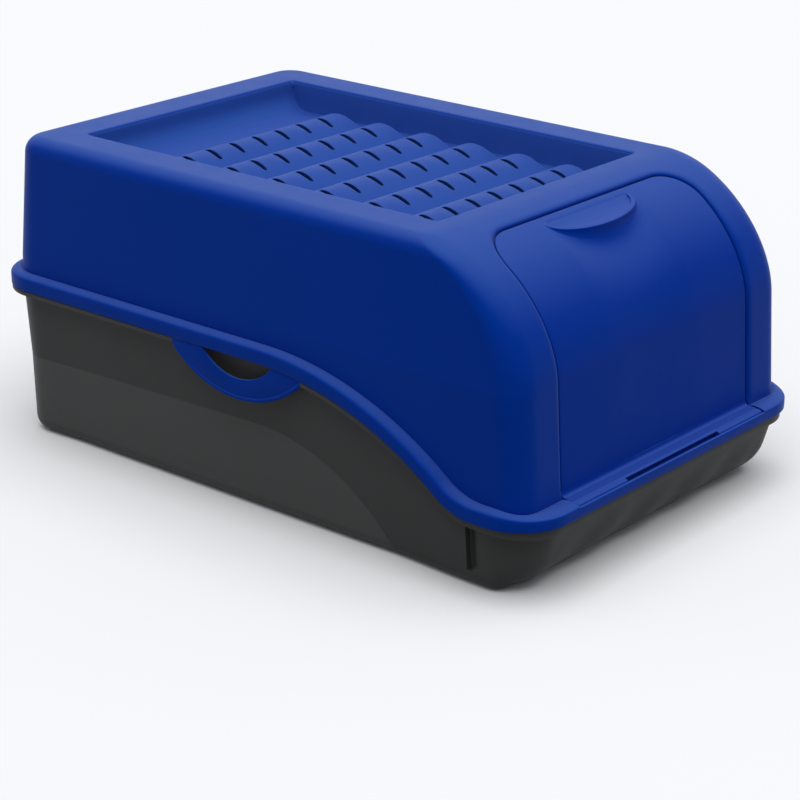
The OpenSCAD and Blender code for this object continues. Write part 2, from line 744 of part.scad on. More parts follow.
// The outline of the latch below the hinge line and the falling rim, seen from the side
module latch_face(inner_r) {
    steps = 16;
    span = 2 * latch_r;
    edge = [for (i = [0:steps])
        let (y = latch_y - latch_r + span * i / steps)
        [y, min(latch_axis_z, rim_z(y) - latch_gap)]];
    intersection() {
        difference() {
            translate([latch_y, latch_cz]) circle(latch_r, $fn = 2 * arc_fn);
            translate([latch_y, latch_cz]) circle(inner_r, $fn = 2 * arc_fn);
            translate([latch_y, hole_cz]) circle(hole_r, $fn = arc_fn);
        }
        polygon(concat([[latch_y - latch_r, 0], [latch_y + latch_r, 0]],
            [for (i = [steps:-1:0]) edge[i]]));
    }
}
module side_latch() {
    translate([-latch_axis_x, 0, 0])
        rotate([90, 0, 90])
            linear_extrude(latch_t)
                latch_face(eps);
    intersection() {
        translate([-half_w, 0, 0])
            rotate([90, 0, 90])
                linear_extrude(bead_h + 0.2)
                    latch_face(latch_r - bead_w);
        translate([-half_w - 1, latch_y - latch_r, 0])
            cube([5, 2 * latch_r, latch_axis_z - 4]);
    }
    translate([-latch_axis_x, latch_y + hole_half + 1, latch_axis_z])
        rotate([-90, 0, 0])
            cylinder(r = latch_edge_r, h = latch_half - hole_half - 2, $fn = 48);
}
module side_latch_left() {
    color("#163a94") side_latch();
}
module side_latch_right() {
    color("#163a94") mirror([1, 0, 0]) side_latch();
}

tub();
hood();
hinge_sill();
front_flap();
side_latch_left();
side_latch_right();
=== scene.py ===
# The looks of the potato storage bin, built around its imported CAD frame. Shapes are worked out in
# millimetres and turned to metres where a mesh is made.
from math import acos, cos, pi, radians, sin, sqrt, tan

import bpy
import bmesh
import numpy as np
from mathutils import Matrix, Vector
from mathutils.geometry import delaunay_2d_cdt


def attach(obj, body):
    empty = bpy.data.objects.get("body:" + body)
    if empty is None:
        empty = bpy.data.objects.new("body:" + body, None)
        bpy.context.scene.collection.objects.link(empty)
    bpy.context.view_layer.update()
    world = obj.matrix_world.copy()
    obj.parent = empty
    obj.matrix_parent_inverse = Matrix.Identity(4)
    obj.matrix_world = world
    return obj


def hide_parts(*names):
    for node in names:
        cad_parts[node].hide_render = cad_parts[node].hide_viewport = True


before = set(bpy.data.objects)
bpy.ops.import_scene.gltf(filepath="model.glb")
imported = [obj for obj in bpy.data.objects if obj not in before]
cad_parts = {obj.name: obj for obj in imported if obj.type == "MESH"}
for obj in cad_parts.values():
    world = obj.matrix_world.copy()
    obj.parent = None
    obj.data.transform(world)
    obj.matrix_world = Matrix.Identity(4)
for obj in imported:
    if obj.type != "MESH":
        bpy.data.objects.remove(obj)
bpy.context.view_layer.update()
MM = 0.001

# Main sizes. Most are as in the part's source; some were corrected later.
HALF_L, HALF_W, BIN_H = 240.0, 155.5, 216.0
WALL = 2.5
RIM_REAR, RIM_FRONT = 110.3, 49.8
R_UP, R_LOW, FALL_FOOT = 250.0, 47.0, 45.5
RIM_R, SIDE_OUT, FRONT_OUT = 36.0, 8.6, 13.7
WALL_X, WALL_FY, WALL_RY = HALF_W - SIDE_OUT, -HALF_L + FRONT_OUT, HALF_L - SIDE_OUT
WALL_RR = RIM_R - SIDE_OUT
FALL_END = -HALF_L + FALL_FOOT
FALL_A = acos(1 - (RIM_REAR - RIM_FRONT) / (R_UP + R_LOW))
FALL_RUN = (R_UP + R_LOW) * sin(FALL_A)
ARCH_Z, ARCH_RISE, ARCH_DEPTH, ARCH_POW = 131.0, 85.0, 87.0, 1.77
FOOT_Z = RIM_FRONT + 9.5
LEAN_FROM = RIM_REAR + 19.0
SIDE_SKIRT, SIDE_H, FRONT_SKIRT, FRONT_H, ROLL_DIP = 7.6, 11.8, 6.5, 9.5, 1.2
FLANGE_H, FLANGE_FRONT_H, FLANGE_T = 1.5, 2.1, 2.2
SIDE_LEAN, FRONT_LEAN = tan(radians(4.2)), tan(radians(3.7))
ARCH_CY = WALL_FY + FRONT_LEAN * (ARCH_Z - FOOT_Z) + ARCH_DEPTH
TOP_R, CHEEK_R, HOOD_FR = 11.0, 18.0, 18.0
OPEN_X, OPEN_Y, OPEN_R = 105.2, ARCH_CY - 21.2, 26.7
GAP, SINK, FLAP_T, LEDGE_D = 1.2, 1.6, 2.5, 4.4
VENT_X, VENT_Y0, VENT_L = 104.5, ARCH_CY + 9.6, 312.9
VENT_Y1 = VENT_Y0 + VENT_L
VALLEY, RIDGE_H, PITCH, REAR_FLAT = BIN_H - 23.2, 10.8, 42.5, 40.7
RIDGE_N, SLIT_N = 6, 7
RIDGE_Y = [VENT_Y1 - REAR_FLAT - (i + 0.5) * PITCH for i in range(RIDGE_N)]
RIDGE_X, RIDGE_FADE, FADE_POW, FADE_ROOT = 86, 11.5, 2.4, 0.75
COVE_R, EDGE_R, FILLET, FILLET_N = 15.0, 2.4, 2.0, 5
HINGE_Y, HINGE_Z = -HALF_L + 4.2, RIM_FRONT + 5.4
BARREL_R, PIN_R, SLOT_X = 2.6, 1.2, 52.0
SLIT_W, SLIT_L, SLIT_SHIFT, CREST_SHIFT = 3.0, 15.0, -2.8, 2.0
SLIT_X, SLIT_PITCH, LOUVRE = -0.8, 23.15, 1.0
SLIT_RIM, SLIT_CHAIN = ((0.45, 0), (0.25, 0.06), (0.08, 0.22), (0, 0.45)), 1.2
EDGE_D, EDGE_H, HOOD_T, ROLL_EDGE = 4.5, 2.0, 2.4, 0.9


def cols(*parts):
    """Points from their coordinates, each of them a row of numbers or one number for all."""
    return np.stack(np.broadcast_arrays(*parts), 1)


def with_z(plan, z):
    return cols(plan[:, 0], plan[:, 1], z)


def ease(t):
    t = np.clip(t, 0, 1)
    return t * t * (3 - 2 * t)


def rim_z(y):
    """Height of the rim's lower edge, which falls in an S towards the front."""
    e = np.asarray(y, float) - FALL_END
    low = RIM_FRONT + R_LOW - np.sqrt(np.maximum(0, R_LOW ** 2 - np.clip(e, 0, R_LOW) ** 2))
    up = RIM_REAR - R_UP + np.sqrt(np.maximum(0, R_UP ** 2 - np.clip(FALL_RUN - e, 0, R_UP) ** 2))
    z = np.where(e < R_LOW * sin(FALL_A), low, up)
    return np.where(e <= 0, RIM_FRONT, np.where(e >= FALL_RUN, RIM_REAR, z))


# Meshes
WELD, SHELL_SHARP = 0.02, 38


def put(name, data):
    """A new object with its data, linked into the scene."""
    ob = bpy.data.objects.new(name, data)
    bpy.context.collection.objects.link(ob)
    return ob


def raw_mesh(name, skin):
    """One object from a skin, whose points are in millimetres."""
    me = bpy.data.meshes.new(name)
    me.from_pydata([tuple(v) for v in skin.points() * MM], [],
                   [tuple(map(int, f)) for f in skin.faces])
    return put(name, me)


def new_mesh(name, skin, body, mat, sharp, weld):
    """One smooth-shaded object from a skin, welded, with sharp edges by angle."""
    ob = raw_mesh(name, skin)
    tidy(ob, weld)
    finish_mesh(ob, body, mat, sharp)
    return ob


def tidy(ob, weld):
    """Welds close points, drops empty faces and turns the normals one way."""
    bm = bmesh.new()
    bm.from_mesh(ob.data)
    if weld:
        bmesh.ops.remove_doubles(bm, verts=bm.verts, dist=weld * MM)
    bmesh.ops.dissolve_degenerate(bm, dist=1e-7, edges=bm.edges)
    bmesh.ops.recalc_face_normals(bm, faces=bm.faces)
    bm.to_mesh(ob.data)
    bm.free()


def finish_mesh(ob, body, mat, sharp):
    """Shades an object, gives it its plastic and lets it ride on its body."""
    me = ob.data
    me.polygons.foreach_set("use_smooth", [True] * len(me.polygons))
    me.set_sharp_from_angle(angle=radians(sharp))
    me.materials.clear()
    me.materials.append(mat)
    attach(ob, body)


def quads(rows, cols, closed):
    """The faces between rows of points, each row as long as the next."""
    last = cols if closed else cols - 1
    return [(k + i, k + (i + 1) % cols, k + cols + (i + 1) % cols, k + cols + i)
            for k in range(0, (rows - 1) * cols, cols) for i in range(last)]


class Skin:
    """Collects patches of points and faces that are welded into one skin."""

    def __init__(self):
        self.verts, self.faces, self.n = [], [], 0

    def add(self, verts, faces):
        verts = np.asarray(verts, float)
        self.verts.append(verts)
        self.faces += [tuple(i + self.n for i in f) for f in faces]
        self.n += len(verts)

    def grid(self, rows, closed=False):
        rows = np.asarray(rows, float)
        self.add(rows.reshape(-1, 3), quads(*rows.shape[:2], closed))

    def points(self):
        return np.concatenate(self.verts)


def inside(poly, pts):
    """Which points lie in a closed polygon, by counting crossings."""
    x, y = pts[:, 0], pts[:, 1]
    hit = np.zeros(len(pts), bool)
    px, py = poly[-1]
    for qx, qy in poly:
        cross = (qy > y) != (py > y)
        at = (px - qx) * (y - qy) / ((py - qy) if py != qy else 1e-12) + qx
        hit ^= cross & (x < at)
        px, py = qx, qy
    return hit


def near(loop, pts, dist):
    """Which points are closer to a closed loop's corners than a distance."""
    out = np.zeros(len(pts), bool)
    for p in loop:
        out |= (np.abs(pts[:, 0] - p[0]) < dist) & (np.abs(pts[:, 1] - p[1]) < dist)
    return out


def loose(xs, ys):
    """The points of a grid, as one list."""
    gx, gy = np.meshgrid(xs, ys)
    return cols(gx.ravel(), gy.ravel())


def lengths(line):
    """How far along a line each of its points lies."""
    return np.concatenate([[0], np.cumsum(np.linalg.norm(np.diff(line, axis=0), axis=1))])


def turns(a0, a1, n):
    """Even angles from one to another, given in degrees and turned to radians."""
    return np.radians(np.linspace(a0, a1, n))


def rounding(r, h, n):
    """Steps of a quarter round from its top on: how far out, and how far down."""
    return [(r * (1 - sin(a)), h * (1 - cos(a))) for a in turns(0, 90, n)]


def triangulate(outer, holes, chains, grid_pts):
    """Triangles between an outer loop and its holes, through extra chains and loose points."""
    pts, edges = [], []

    def loop(points, closed=True):
        a = len(pts)
        pts.extend([tuple(p) for p in points])
        n = len(points)
        edges.extend([(a + i, a + (i + 1) % n) for i in range(n if closed else n - 1)])
    loop(outer)
    for h in holes:
        loop(h)
    for c, closed in chains:
        loop(c, closed)
    pts.extend([tuple(p) for p in grid_pts])
    v, _, f, _, _, _ = delaunay_2d_cdt([Vector(p) for p in pts], edges, [], 0, 1e-5)
    v = np.array([(p.x, p.y) for p in v])
    f = np.array([t for t in f if len(t) == 3])
    mid = v[f].mean(1)
    keep = inside(np.asarray(outer), mid)
    for h in holes:
        keep &= ~inside(np.asarray(h), mid)
    return v, f[keep]


def solidify(ob, thick):
    """Gives a skin its wall thickness, inwards from its outer face."""
    m = ob.modifiers.new("wall", "SOLIDIFY")
    m.thickness = thick * MM
    m.offset = -1
    m.use_rim = True
    dg = bpy.context.evaluated_depsgraph_get()
    me = bpy.data.meshes.new_from_object(ob.evaluated_get(dg))
    ob.modifiers.clear()
    old = ob.data
    ob.data = me
    bpy.data.meshes.remove(old)


def face_out(ob, test):
    """Turns the whole skin so that its faces point the way the test asks."""
    bm = bmesh.new()
    bm.from_mesh(ob.data)
    bmesh.ops.recalc_face_normals(bm, faces=bm.faces)
    score = sum(test(f) for f in bm.faces)
    if score < 0:
        bmesh.ops.reverse_faces(bm, faces=bm.faces)
    bm.to_mesh(ob.data)
    bm.free()


# The front outline of the hood, from the foot of the wall up the arch to the flat top
STEP, SOFT_N, SOFT = 0.5, 24, 8.0
CROWN, CROWN_FALL = 12, 0.0058


def front_profile():
    """Even points (y, z) of the outline with its corners softened, and how far along they lie."""
    rise = np.array([[FRONT_LEAN * (ARCH_Z - FOOT_Z), ARCH_Z - FOOT_Z]])
    lean = np.linspace(0, 1, 60)[:-1, None] * rise
    lean += np.array([[WALL_FY, FOOT_Z]])
    a = turns(0, 90, 500)
    arch = cols(ARCH_CY - ARCH_DEPTH * np.cos(a) ** (2 / ARCH_POW),
                ARCH_Z + ARCH_RISE * np.sin(a) ** (2 / ARCH_POW))
    flat = cols(np.linspace(ARCH_CY, ARCH_CY + 30, 31)[1:], BIN_H)
    p = np.concatenate([lean, arch, flat])
    s = lengths(p)
    even = np.arange(0, s[-1], STEP)
    q = cols(np.interp(even, s, p[:, 0]), np.interp(even, s, p[:, 1]))
    k = np.exp(-0.5 * (np.arange(-SOFT_N, SOFT_N + 1) / SOFT) ** 2)
    k /= k.sum()
    pad = np.concatenate([q[0] - (q[1] - q[0]) * np.arange(SOFT_N, 0, -1)[:, None], q,
                          q[-1] + (q[-1] - q[-2]) * np.arange(1, SOFT_N + 1)[:, None]])
    q = np.stack([np.convolve(pad[:, i], k, "valid") for i in (0, 1)], 1)
    q = q[:np.searchsorted(q[:, 0], ARCH_CY) + 1]
    # The last stretch runs into the flat top without a corner
    t = np.clip((q[:, 0] - ARCH_CY + CROWN) / CROWN, 0, 1)
    q[:, 1] = q[:, 1] * (1 - t) + t * (BIN_H - (ARCH_CY - q[:, 0]) ** 2 * CROWN_FALL)
    q[-1] = (ARCH_CY, BIN_H)
    return lengths(q), q


PS, PQ = front_profile()
PT = np.gradient(PQ, PS, axis=0)
PT /= np.linalg.norm(PT, axis=1)[:, None]
S_END = PS[-1]


def s_of_z(z):
    """The place along the outline at a height."""
    return np.interp(z, PQ[:, 1], PS)


def s_of_y(y):
    """The place along the outline at a distance from the front."""
    return np.interp(y, PQ[10:, 0], PS[10:])


def front_at(x, s, depth=0.0):
    """A point of the front surface, at a place along the outline and a depth below it."""
    s = np.asarray(s, float)
    y, z = np.interp(s, PS, PQ[:, 0]), np.interp(s, PS, PQ[:, 1])
    ty, tz = np.interp(s, PS, PT[:, 0]), np.interp(s, PS, PT[:, 1])
    return cols(x, y + tz * depth, z - ty * depth)


# Rings of the walls, drawn from the front right corner round the back to the front left corner
CN, REAR_N = 16, 60
SIDE_Y0, SIDE_Y1 = -HALF_L + RIM_R, HALF_L - RIM_R
LOW_END, FALL_TOP = FALL_END + R_LOW * sin(FALL_A), FALL_END + FALL_RUN
SIDE_T = np.unique(np.concatenate([np.linspace(FALL_END, LOW_END, 26),
                                   np.linspace(LOW_END, FALL_TOP, 80),
                                   np.linspace(FALL_TOP, SIDE_Y1, 60)]))
SIDE_T = (SIDE_T - SIDE_Y0) / (SIDE_Y1 - SIDE_Y0)
SIDE_T = SIDE_T[(SIDE_T > 0.001) & (SIDE_T < 0.999)]


def ring(hx, yf, yr, rf, rr, places=SIDE_T):
    """A rounded rectangle, with its points along the sides at the given shares of their length."""
    def arc(cx, cy, r, a0):
        a = np.radians(a0 + 90 * np.linspace(0, 1, CN + 1))
        return cols(cx + r * np.cos(a), cy + r * np.sin(a))
    ys = yf + rf + (yr - rr - yf - rf) * places
    side = cols(hx, ys)
    xs = np.linspace(hx - rr, -hx + rr, REAR_N + 1)[1:-1]
    rear = cols(xs, yr)
    return np.concatenate([arc(hx - rf, yf + rf, rf, -90), side, arc(hx - rr, yr - rr, rr, 0), rear,
                           arc(-hx + rr, yr - rr, rr, 90), side[::-1] * [-1, 1],
                           arc(-hx + rf, yf + rf, rf, 180)])


def rim_plan(inset, places=SIDE_T):
    r = RIM_R - inset
    return ring(HALF_W - inset, -HALF_L + inset, HALF_L - inset, r, r, places)


def wall_plan(inset, fr, places=SIDE_T):
    return ring(WALL_X - inset, WALL_FY + inset, WALL_RY - inset, fr - inset, WALL_RR - inset,
                places)


def share(plan):
    """How far each point belongs to the front wall: nought along the sides, one at the front."""
    return ease(((-HALF_L + RIM_R) - plan[:, 1]) / (RIM_R * 0.9))


def hood_ring(z):
    """The outline of the hood at a height above the spring of the arch."""
    up = z - (BIN_H - TOP_R)
    bend = TOP_R - sqrt(max(0, TOP_R ** 2 - up * up)) if up > 0 else 0
    e = SIDE_LEAN * (z - LEAN_FROM) + bend
    yf = np.interp(z, PQ[:, 1], PQ[:, 0])
    return ring(WALL_X - e, yf, WALL_RY - e, max(3, CHEEK_R - bend), max(3, WALL_RR - e))


# Hood: walls, front strip, flat top, vent recess and rolled rim, welded and given their thickness
Z_ROWS = [131.0, 134, 138, 142, 147, 152, 157, 162, 167, 172, 177, 182, 186, 190, 193, 196, 199,
          201.5, 203.5, 205, 206.5, 208, 209.3, 210.5, 211.5, 212.4, 213.2, 213.9, 214.5, 215,
          215.35, 215.6, 215.78, 215.9, 215.97, 216.0]


def hood_walls(skin):
    """Rows from the rim's roll up to the flat top, open at the front where the strip comes in."""
    rim = rim_plan(0)
    base = wall_plan(0, HOOD_FR)
    w = share(rim)
    base_z = rim_z(rim[:, 1])
    low = with_z(base, base_z + SIDE_H * (1 - w) + FRONT_H * w)
    spring = with_z(hood_ring(ARCH_Z), ARCH_Z)
    rows = [low + (spring - low) * t for t in np.linspace(0, 1, 13)[:-1]]
    fy = np.interp([r[0][2] for r in rows], PQ[:, 1], PQ[:, 0])
    for r, y in zip(rows, fy):
        r[:, 1] += (y - r[0][1]) * share(r)
    rows += [with_z(hood_ring(z), z) for z in Z_ROWS]
    skin.grid(rows)
    return rows


def opening_line():
    """The outline of the flap's opening: places on the front surface and outward directions."""
    n_side, n_arc, n_top = 64, 14, 72
    s_corner = s_of_y(OPEN_Y - OPEN_R)
    sides = s_corner * np.linspace(0, 1, n_side)[:-1]
    pts = [(OPEN_X, s, 1.0, 0.0) for s in sides]
    for a in turns(0, 90, n_arc + 1):
        x = OPEN_X - OPEN_R + OPEN_R * cos(a)
        s = s_of_y(OPEN_Y - OPEN_R + OPEN_R * sin(a))
        pts.append((x, s, cos(a), sin(a)))
    right = np.array(pts)
    left = right[::-1] * [-1, 1, -1, 1]
    xs = np.linspace(OPEN_X - OPEN_R, -OPEN_X + OPEN_R, n_top + 1)[1:-1]
    top = np.array([(x, right[-1][1], 0.0, 1.0) for x in xs])
    return np.concatenate([right, top, left])


def border(line, d, depth, taper=True):
    """A loop beside an outline, at a distance out from it and a depth below the surface."""
    s = np.maximum(0, line[:, 1] + d * line[:, 3])
    x = line[:, 0] + d * line[:, 2]
    k = ease(s / 5) if taper else 1
    return x, s, np.broadcast_to(depth * k, s.shape)


def front_strip(skin, rows):
    """The front between the walls, with the rounded edge and the ledge of the opening."""
    right = np.array([(r[0][0], s_of_z(r[0][2])) for r in rows])
    right[0][1] = 0
    line = opening_line()
    hole = cols(*border(line, EDGE_D, 0)[:2])
    xc = right[0][0]
    foot_r = cols(np.linspace(hole[0][0], xc, 5)[1:-1], 0)
    top = cols(np.linspace(right[-1][0], -right[-1][0], 91)[1:-1], S_END)
    outer = np.concatenate([foot_r, right, top, (right * [-1, 1])[::-1], (foot_r * [-1, 1])[::-1],
                            hole[::-1]])
    g = loose(np.arange(-132, 132.1, 3.0), np.arange(1.5, S_END - 0.8, 3.0))
    g = g[inside(outer, g) & ~near(outer, g, 1.5)]
    v, f = triangulate(outer, [], [], g)
    skin.add(front_at(v[:, 0], v[:, 1]), f)
    ledge = [(0, 3.2), (0, LEDGE_D), (-2, LEDGE_D), (-6, LEDGE_D)]
    loops = [front_at(*border(line, d, h)) for d, h in rounding(EDGE_D, EDGE_H, 8)]
    loops += [front_at(*border(line, d, h, taper=False)) for d, h in ledge]
    skin.grid(loops)
    return top


def vent_profile():
    """The floor of the recess from the front wall to the rear wall, without its ridges."""
    def cove(cy, a0):
        return [(cy + COVE_R * cos(a), VALLEY + COVE_R + COVE_R * sin(a))
                for a in turns(a0, a0 + 90, 13)]
    front, rear = VENT_Y0 + COVE_R, VENT_Y1 - COVE_R
    pts = [(VENT_Y0, z) for z in np.linspace(BIN_H - EDGE_R, VALLEY + COVE_R, 4)[:-1]]
    pts += cove(front, 180) + [(y, VALLEY) for y in np.linspace(front, rear, 145)[1:-1]]
    pts += cove(rear, 270)
    pts += [(VENT_Y1, z) for z in np.linspace(VALLEY + COVE_R, BIN_H - EDGE_R, 4)[1:]]
    return np.array(pts)


def hump(u):
    """A broad arched section, one at the crest and nought at the valley, which is softened."""
    k = 0.84
    w = np.clip((u - k) / (1 - k), 0, 1)
    end = 1 - k * k - k * (1 - k)
    f = np.where(u < k, 1 - u * u, 1 - k * k - 2 * k * (1 - k) * (w - w * w / 2))
    return (f - end) / (1 - end)


def louvre(x, y):
    """How far the ridges fall towards the near edge of each slit."""
    run = (x - SLIT_X) / SLIT_PITCH + SLIT_N // 2
    fall = np.clip((run % 1.0 - 0.4) / 0.6, 0, 1) ** 2 * (run < SLIT_N - 1)
    open_part = np.zeros_like(y)
    for cy in RIDGE_Y:
        open_part = np.maximum(open_part, 1 - ((y - cy - SLIT_SHIFT) / (SLIT_L / 2 - 0.8)) ** 2)
    return LOUVRE * fall * open_part


def ridge_height(x, y):
    """Height of the slit ridges over the recess's floor, fading out before its side walls."""
    out = np.zeros_like(y)
    for cy in RIDGE_Y:
        u = np.abs(y - cy - CREST_SHIFT) / (PITCH / 2)
        out = np.maximum(out, np.where(u < 1, hump(np.minimum(u, 1)), 0))
    u = np.clip((np.abs(x) - RIDGE_X) / RIDGE_FADE, 0, 1)
    fade = np.maximum(0, 1 - u ** FADE_POW) ** FADE_ROOT
    return RIDGE_H * out * fade - louvre(x, y)


def slit_loop(cx, cy, grow):
    """The outline of a slit, grown on all sides."""
    r = SLIT_W / 2 + grow
    half = SLIT_L / 2 - SLIT_W / 2
    a = turns(0, 180, 7)
    up = cols(cx + r * np.cos(a), cy + half + r * np.sin(a))
    down = cols(cx - r * np.cos(a), cy - half - r * np.sin(a))
    side = np.linspace(half, -half, 7)[1:-1]
    left = cols(cx - r, cy + side)
    right = cols(cx + r, cy - side)
    return np.concatenate([up, left, down, right])


def vent_recess(skin):
    """The sunken vent panel; gives back the outline of its edge with outward directions."""
    prof = vent_profile()
    d = np.gradient(prof, axis=0)
    d /= np.linalg.norm(d, axis=1)[:, None]
    normal = cols(-d[:, 1], d[:, 0])
    q = lengths(prof)

    def at(x, qq, lift=0.0):
        y, z = np.interp(qq, q, prof[:, 0]), np.interp(qq, q, prof[:, 1])
        ny, nz = np.interp(qq, q, normal[:, 0]), np.interp(qq, q, normal[:, 1])
        return cols(x, y + ny * lift, z + nz * lift + ridge_height(x, y))

    half = VENT_X - FILLET
    xs = np.linspace(-half, half, 84)
    outer = np.array([(x, q[0]) for x in xs] + [(half, p) for p in q[1:-1]]
                     + [(x, q[-1]) for x in xs[::-1]] + [(-half, p) for p in q[-2:0:-1]])
    shift = np.interp(0, prof[20:-20, 0], q[20:-20])
    holes, chains, slits = [], [], []
    for cy in RIDGE_Y:
        for j in range(SLIT_N):
            slit = (SLIT_X + (j - SLIT_N // 2) * SLIT_PITCH, cy + SLIT_SHIFT)
            holes.append(slit_loop(*slit, SLIT_RIM[0][0]) + [0, shift])
            chains.append((slit_loop(*slit, SLIT_CHAIN) + [0, shift], True))
            slits.append(slit)
    g = loose(np.arange(-100.5, 100.6, 2.4), np.arange(1.5, q[-1] - 1, 2.1))
    gy = np.interp(g[:, 1], q, prof[:, 0])
    ok = np.ones(len(g), bool)
    for cx, cy in slits:
        ok &= ~((np.abs(g[:, 0] - cx) < 3.2) & (np.abs(gy - cy) < SLIT_L / 2 + 1.8))
    v, f = triangulate(outer, holes, chains, g[ok])
    skin.add(at(v[:, 0], v[:, 1]), f)
    for cx, cy in slits:
        loops = []
        for grow, drop in SLIT_RIM:
            lp = slit_loop(cx, cy, grow)
            p = at(lp[:, 0], lp[:, 1] + shift)
            p[:, 2] -= drop
            loops.append(p)
        skin.grid([np.concatenate([lp, lp[:1]]) for lp in loops])
    # The fillet between the floor and each side wall, then the flat side wall up to the edge
    top_z = BIN_H - EDGE_R
    bend = rounding(FILLET, FILLET, FILLET_N + 1)
    for side in (-1, 1):
        loops = []
        for away, up in bend:
            p = at(side * (VENT_X - away), q, up)
            p[:, 2] = np.minimum(p[:, 2], top_z)
            loops.append(p)
        skin.grid(loops)
        foot = loops[-1]
        rise = np.array([[0, 0, 1]]) * (top_z - foot[:, 2:])
        skin.grid([foot + rise * t for t in (0, 0.33, 0.67, 1)])
    # The outline of the edge, met by the land's rounding
    def corner(y, way):
        """The bend from the front wall (way 1) or the rear wall (way -1) to a side wall."""
        turn = [radians(way * (90 / FILLET_N * k - 90)) for k in range(1, FILLET_N + 1)]
        return [(VENT_X - away, y + way * up, cos(a), sin(a))
                for (away, up), a in zip(bend[1:], turn)]
    ys = foot[:, 1]
    ys = ys[np.concatenate([[True], np.diff(ys) > 1e-6])]
    half_loop = [(x, VENT_Y0, 0, -1) for x in xs] + corner(VENT_Y0, 1)
    half_loop += [(VENT_X, y, 1, 0) for y in ys[1:-1]] + corner(VENT_Y1, -1)[::-1]
    half_loop = np.array(half_loop)
    rear = np.array([(x, VENT_Y1, 0, 1) for x in xs[::-1]])
    left = half_loop[len(xs):][::-1] * [-1, 1, -1, 1]
    return np.concatenate([half_loop, rear, left])


def hood_top(skin, rows, strip_top, edge):
    """The flat land round the vent recess and the rounding down to the recess's edge."""
    front = cols(-strip_top[:, 0], ARCH_CY)
    outer = np.concatenate([rows[-1][:, :2], front])
    hole = edge[:, :2] + EDGE_R * edge[:, 2:]
    chain = edge[:, :2] + (EDGE_R + 1.0) * edge[:, 2:]
    g = loose(np.arange(-134, 134.1, 4.0), np.arange(-131, 220.1, 4.0))
    box = (np.abs(g[:, 0]) < VENT_X + 5) & (g[:, 1] > VENT_Y0 - 5) & (g[:, 1] < VENT_Y1 + 5)
    g = g[inside(outer, g) & ~near(outer, g, 2.0) & ~box]
    v, f = triangulate(outer, [hole], [(chain, True)], g)
    skin.add(with_z(v, BIN_H), f)
    loops = [with_z(edge[:, :2] + d * edge[:, 2:], BIN_H - h)
             for d, h in rounding(EDGE_R, EDGE_R, 7)]
    skin.grid([np.concatenate([lp, lp[:1]]) for lp in loops])


def roll_rows(wall, skirt, height, base_z):
    """Rows of a rolled rim from the wall out over the roll and down to its lower edge."""
    rim = rim_plan(0)
    rows = [with_z(wall, base_z + skirt + height)]
    for a in turns(90, 0, 13):
        t = 1 - cos(a)
        dip = ROLL_DIP * max(0, (t - 0.55) / 0.45) ** 2
        rows.append(with_z(rim + (wall - rim) * t, base_z + skirt + height * sin(a) - dip))
    for k in (0.66, 0.33):
        rows.append(with_z(rim, base_z + ROLL_EDGE + (skirt - ROLL_EDGE) * k))
    rows.append(with_z(rim, base_z + ROLL_EDGE))
    for dx, dz in ((0.12, 0.29), (0.41, 0.0)):
        rows.append(with_z(rim_plan(dx * ROLL_EDGE), base_z + ROLL_EDGE * dz))
    return rows


def hood_rim(skin, rows):
    """The rolled rim round the hood, and its two short runs beside the flap's opening."""
    rim = rim_plan(0)
    w = share(rim)
    base_z = rim_z(rim[:, 1])
    skirt = SIDE_SKIRT * (1 - w) + FRONT_SKIRT * w
    height = (SIDE_H - SIDE_SKIRT) * (1 - w) + (FRONT_H - FRONT_SKIRT) * w
    roll = roll_rows(wall_plan(0, HOOD_FR), skirt, height, base_z)
    skin.grid(roll)
    xc_wall, xc_rim = rows[0][0][0], HALF_W - RIM_R
    stops = [OPEN_X + d for d, _ in rounding(EDGE_D, EDGE_H, 8)[::-1]]
    wall_x = np.array(stops + list(np.linspace(stops[-1], xc_wall, 5)[1:]))
    rim_x = OPEN_X + (wall_x - OPEN_X) * (xc_rim - OPEN_X) / (xc_wall - OPEN_X)
    for side in (-1, 1):
        rows_f = []
        for r in roll:
            x0, y, z = r[0]
            k = (x0 - xc_rim) / (xc_wall - xc_rim)
            rows_f.append([(side * x, y, z) for x in rim_x + (wall_x - rim_x) * k])
        skin.grid(rows_f)


def round_hinge(r, degrees):
    """Points (y, z) at a radius about the flap's hinge."""
    return [(HINGE_Y + r * cos(a), HINGE_Z + r * sin(a)) for a in np.radians(degrees)]


def lip_piece():
    """The lip of the rim in front of the flap's barrel, which it follows on its inner side."""
    y0, z0, z1 = -HALF_L, RIM_FRONT, HINGE_Z + 1.3
    prof = [(y0 + 2.4, z0), (y0 + 0.4, z0), (y0 + 0.12, z0 + 0.12), (y0, z0 + 0.5), (y0, z1 - 1.2),
            (y0 + 0.1, z1 - 0.7), (y0 + 0.35, z1 - 0.3), (y0 + 0.75, z1 - 0.05), (y0 + 1.1, z1)]
    prof += round_hinge(BARREL_R + 0.5, [153, 160, 168, 176, 184, 195])
    prof.append((y0 + 2.4, z0 + 2.6))
    return extrude(prof, -OPEN_X, OPEN_X)


def extrude(prof, x0, x1, n=2):
    """A closed outline in Y and Z, run along X and capped."""
    prof = np.array(prof)
    xs = np.linspace(x0, x1, n)
    c = len(prof)
    verts = np.concatenate([cols(x, prof[:, 0], prof[:, 1]) for x in xs])
    faces = quads(n, c, closed=True)
    faces.append(tuple(range(c)))
    faces.append(tuple(range(n * c - 1, (n - 1) * c - 1, -1)))
    return verts, faces


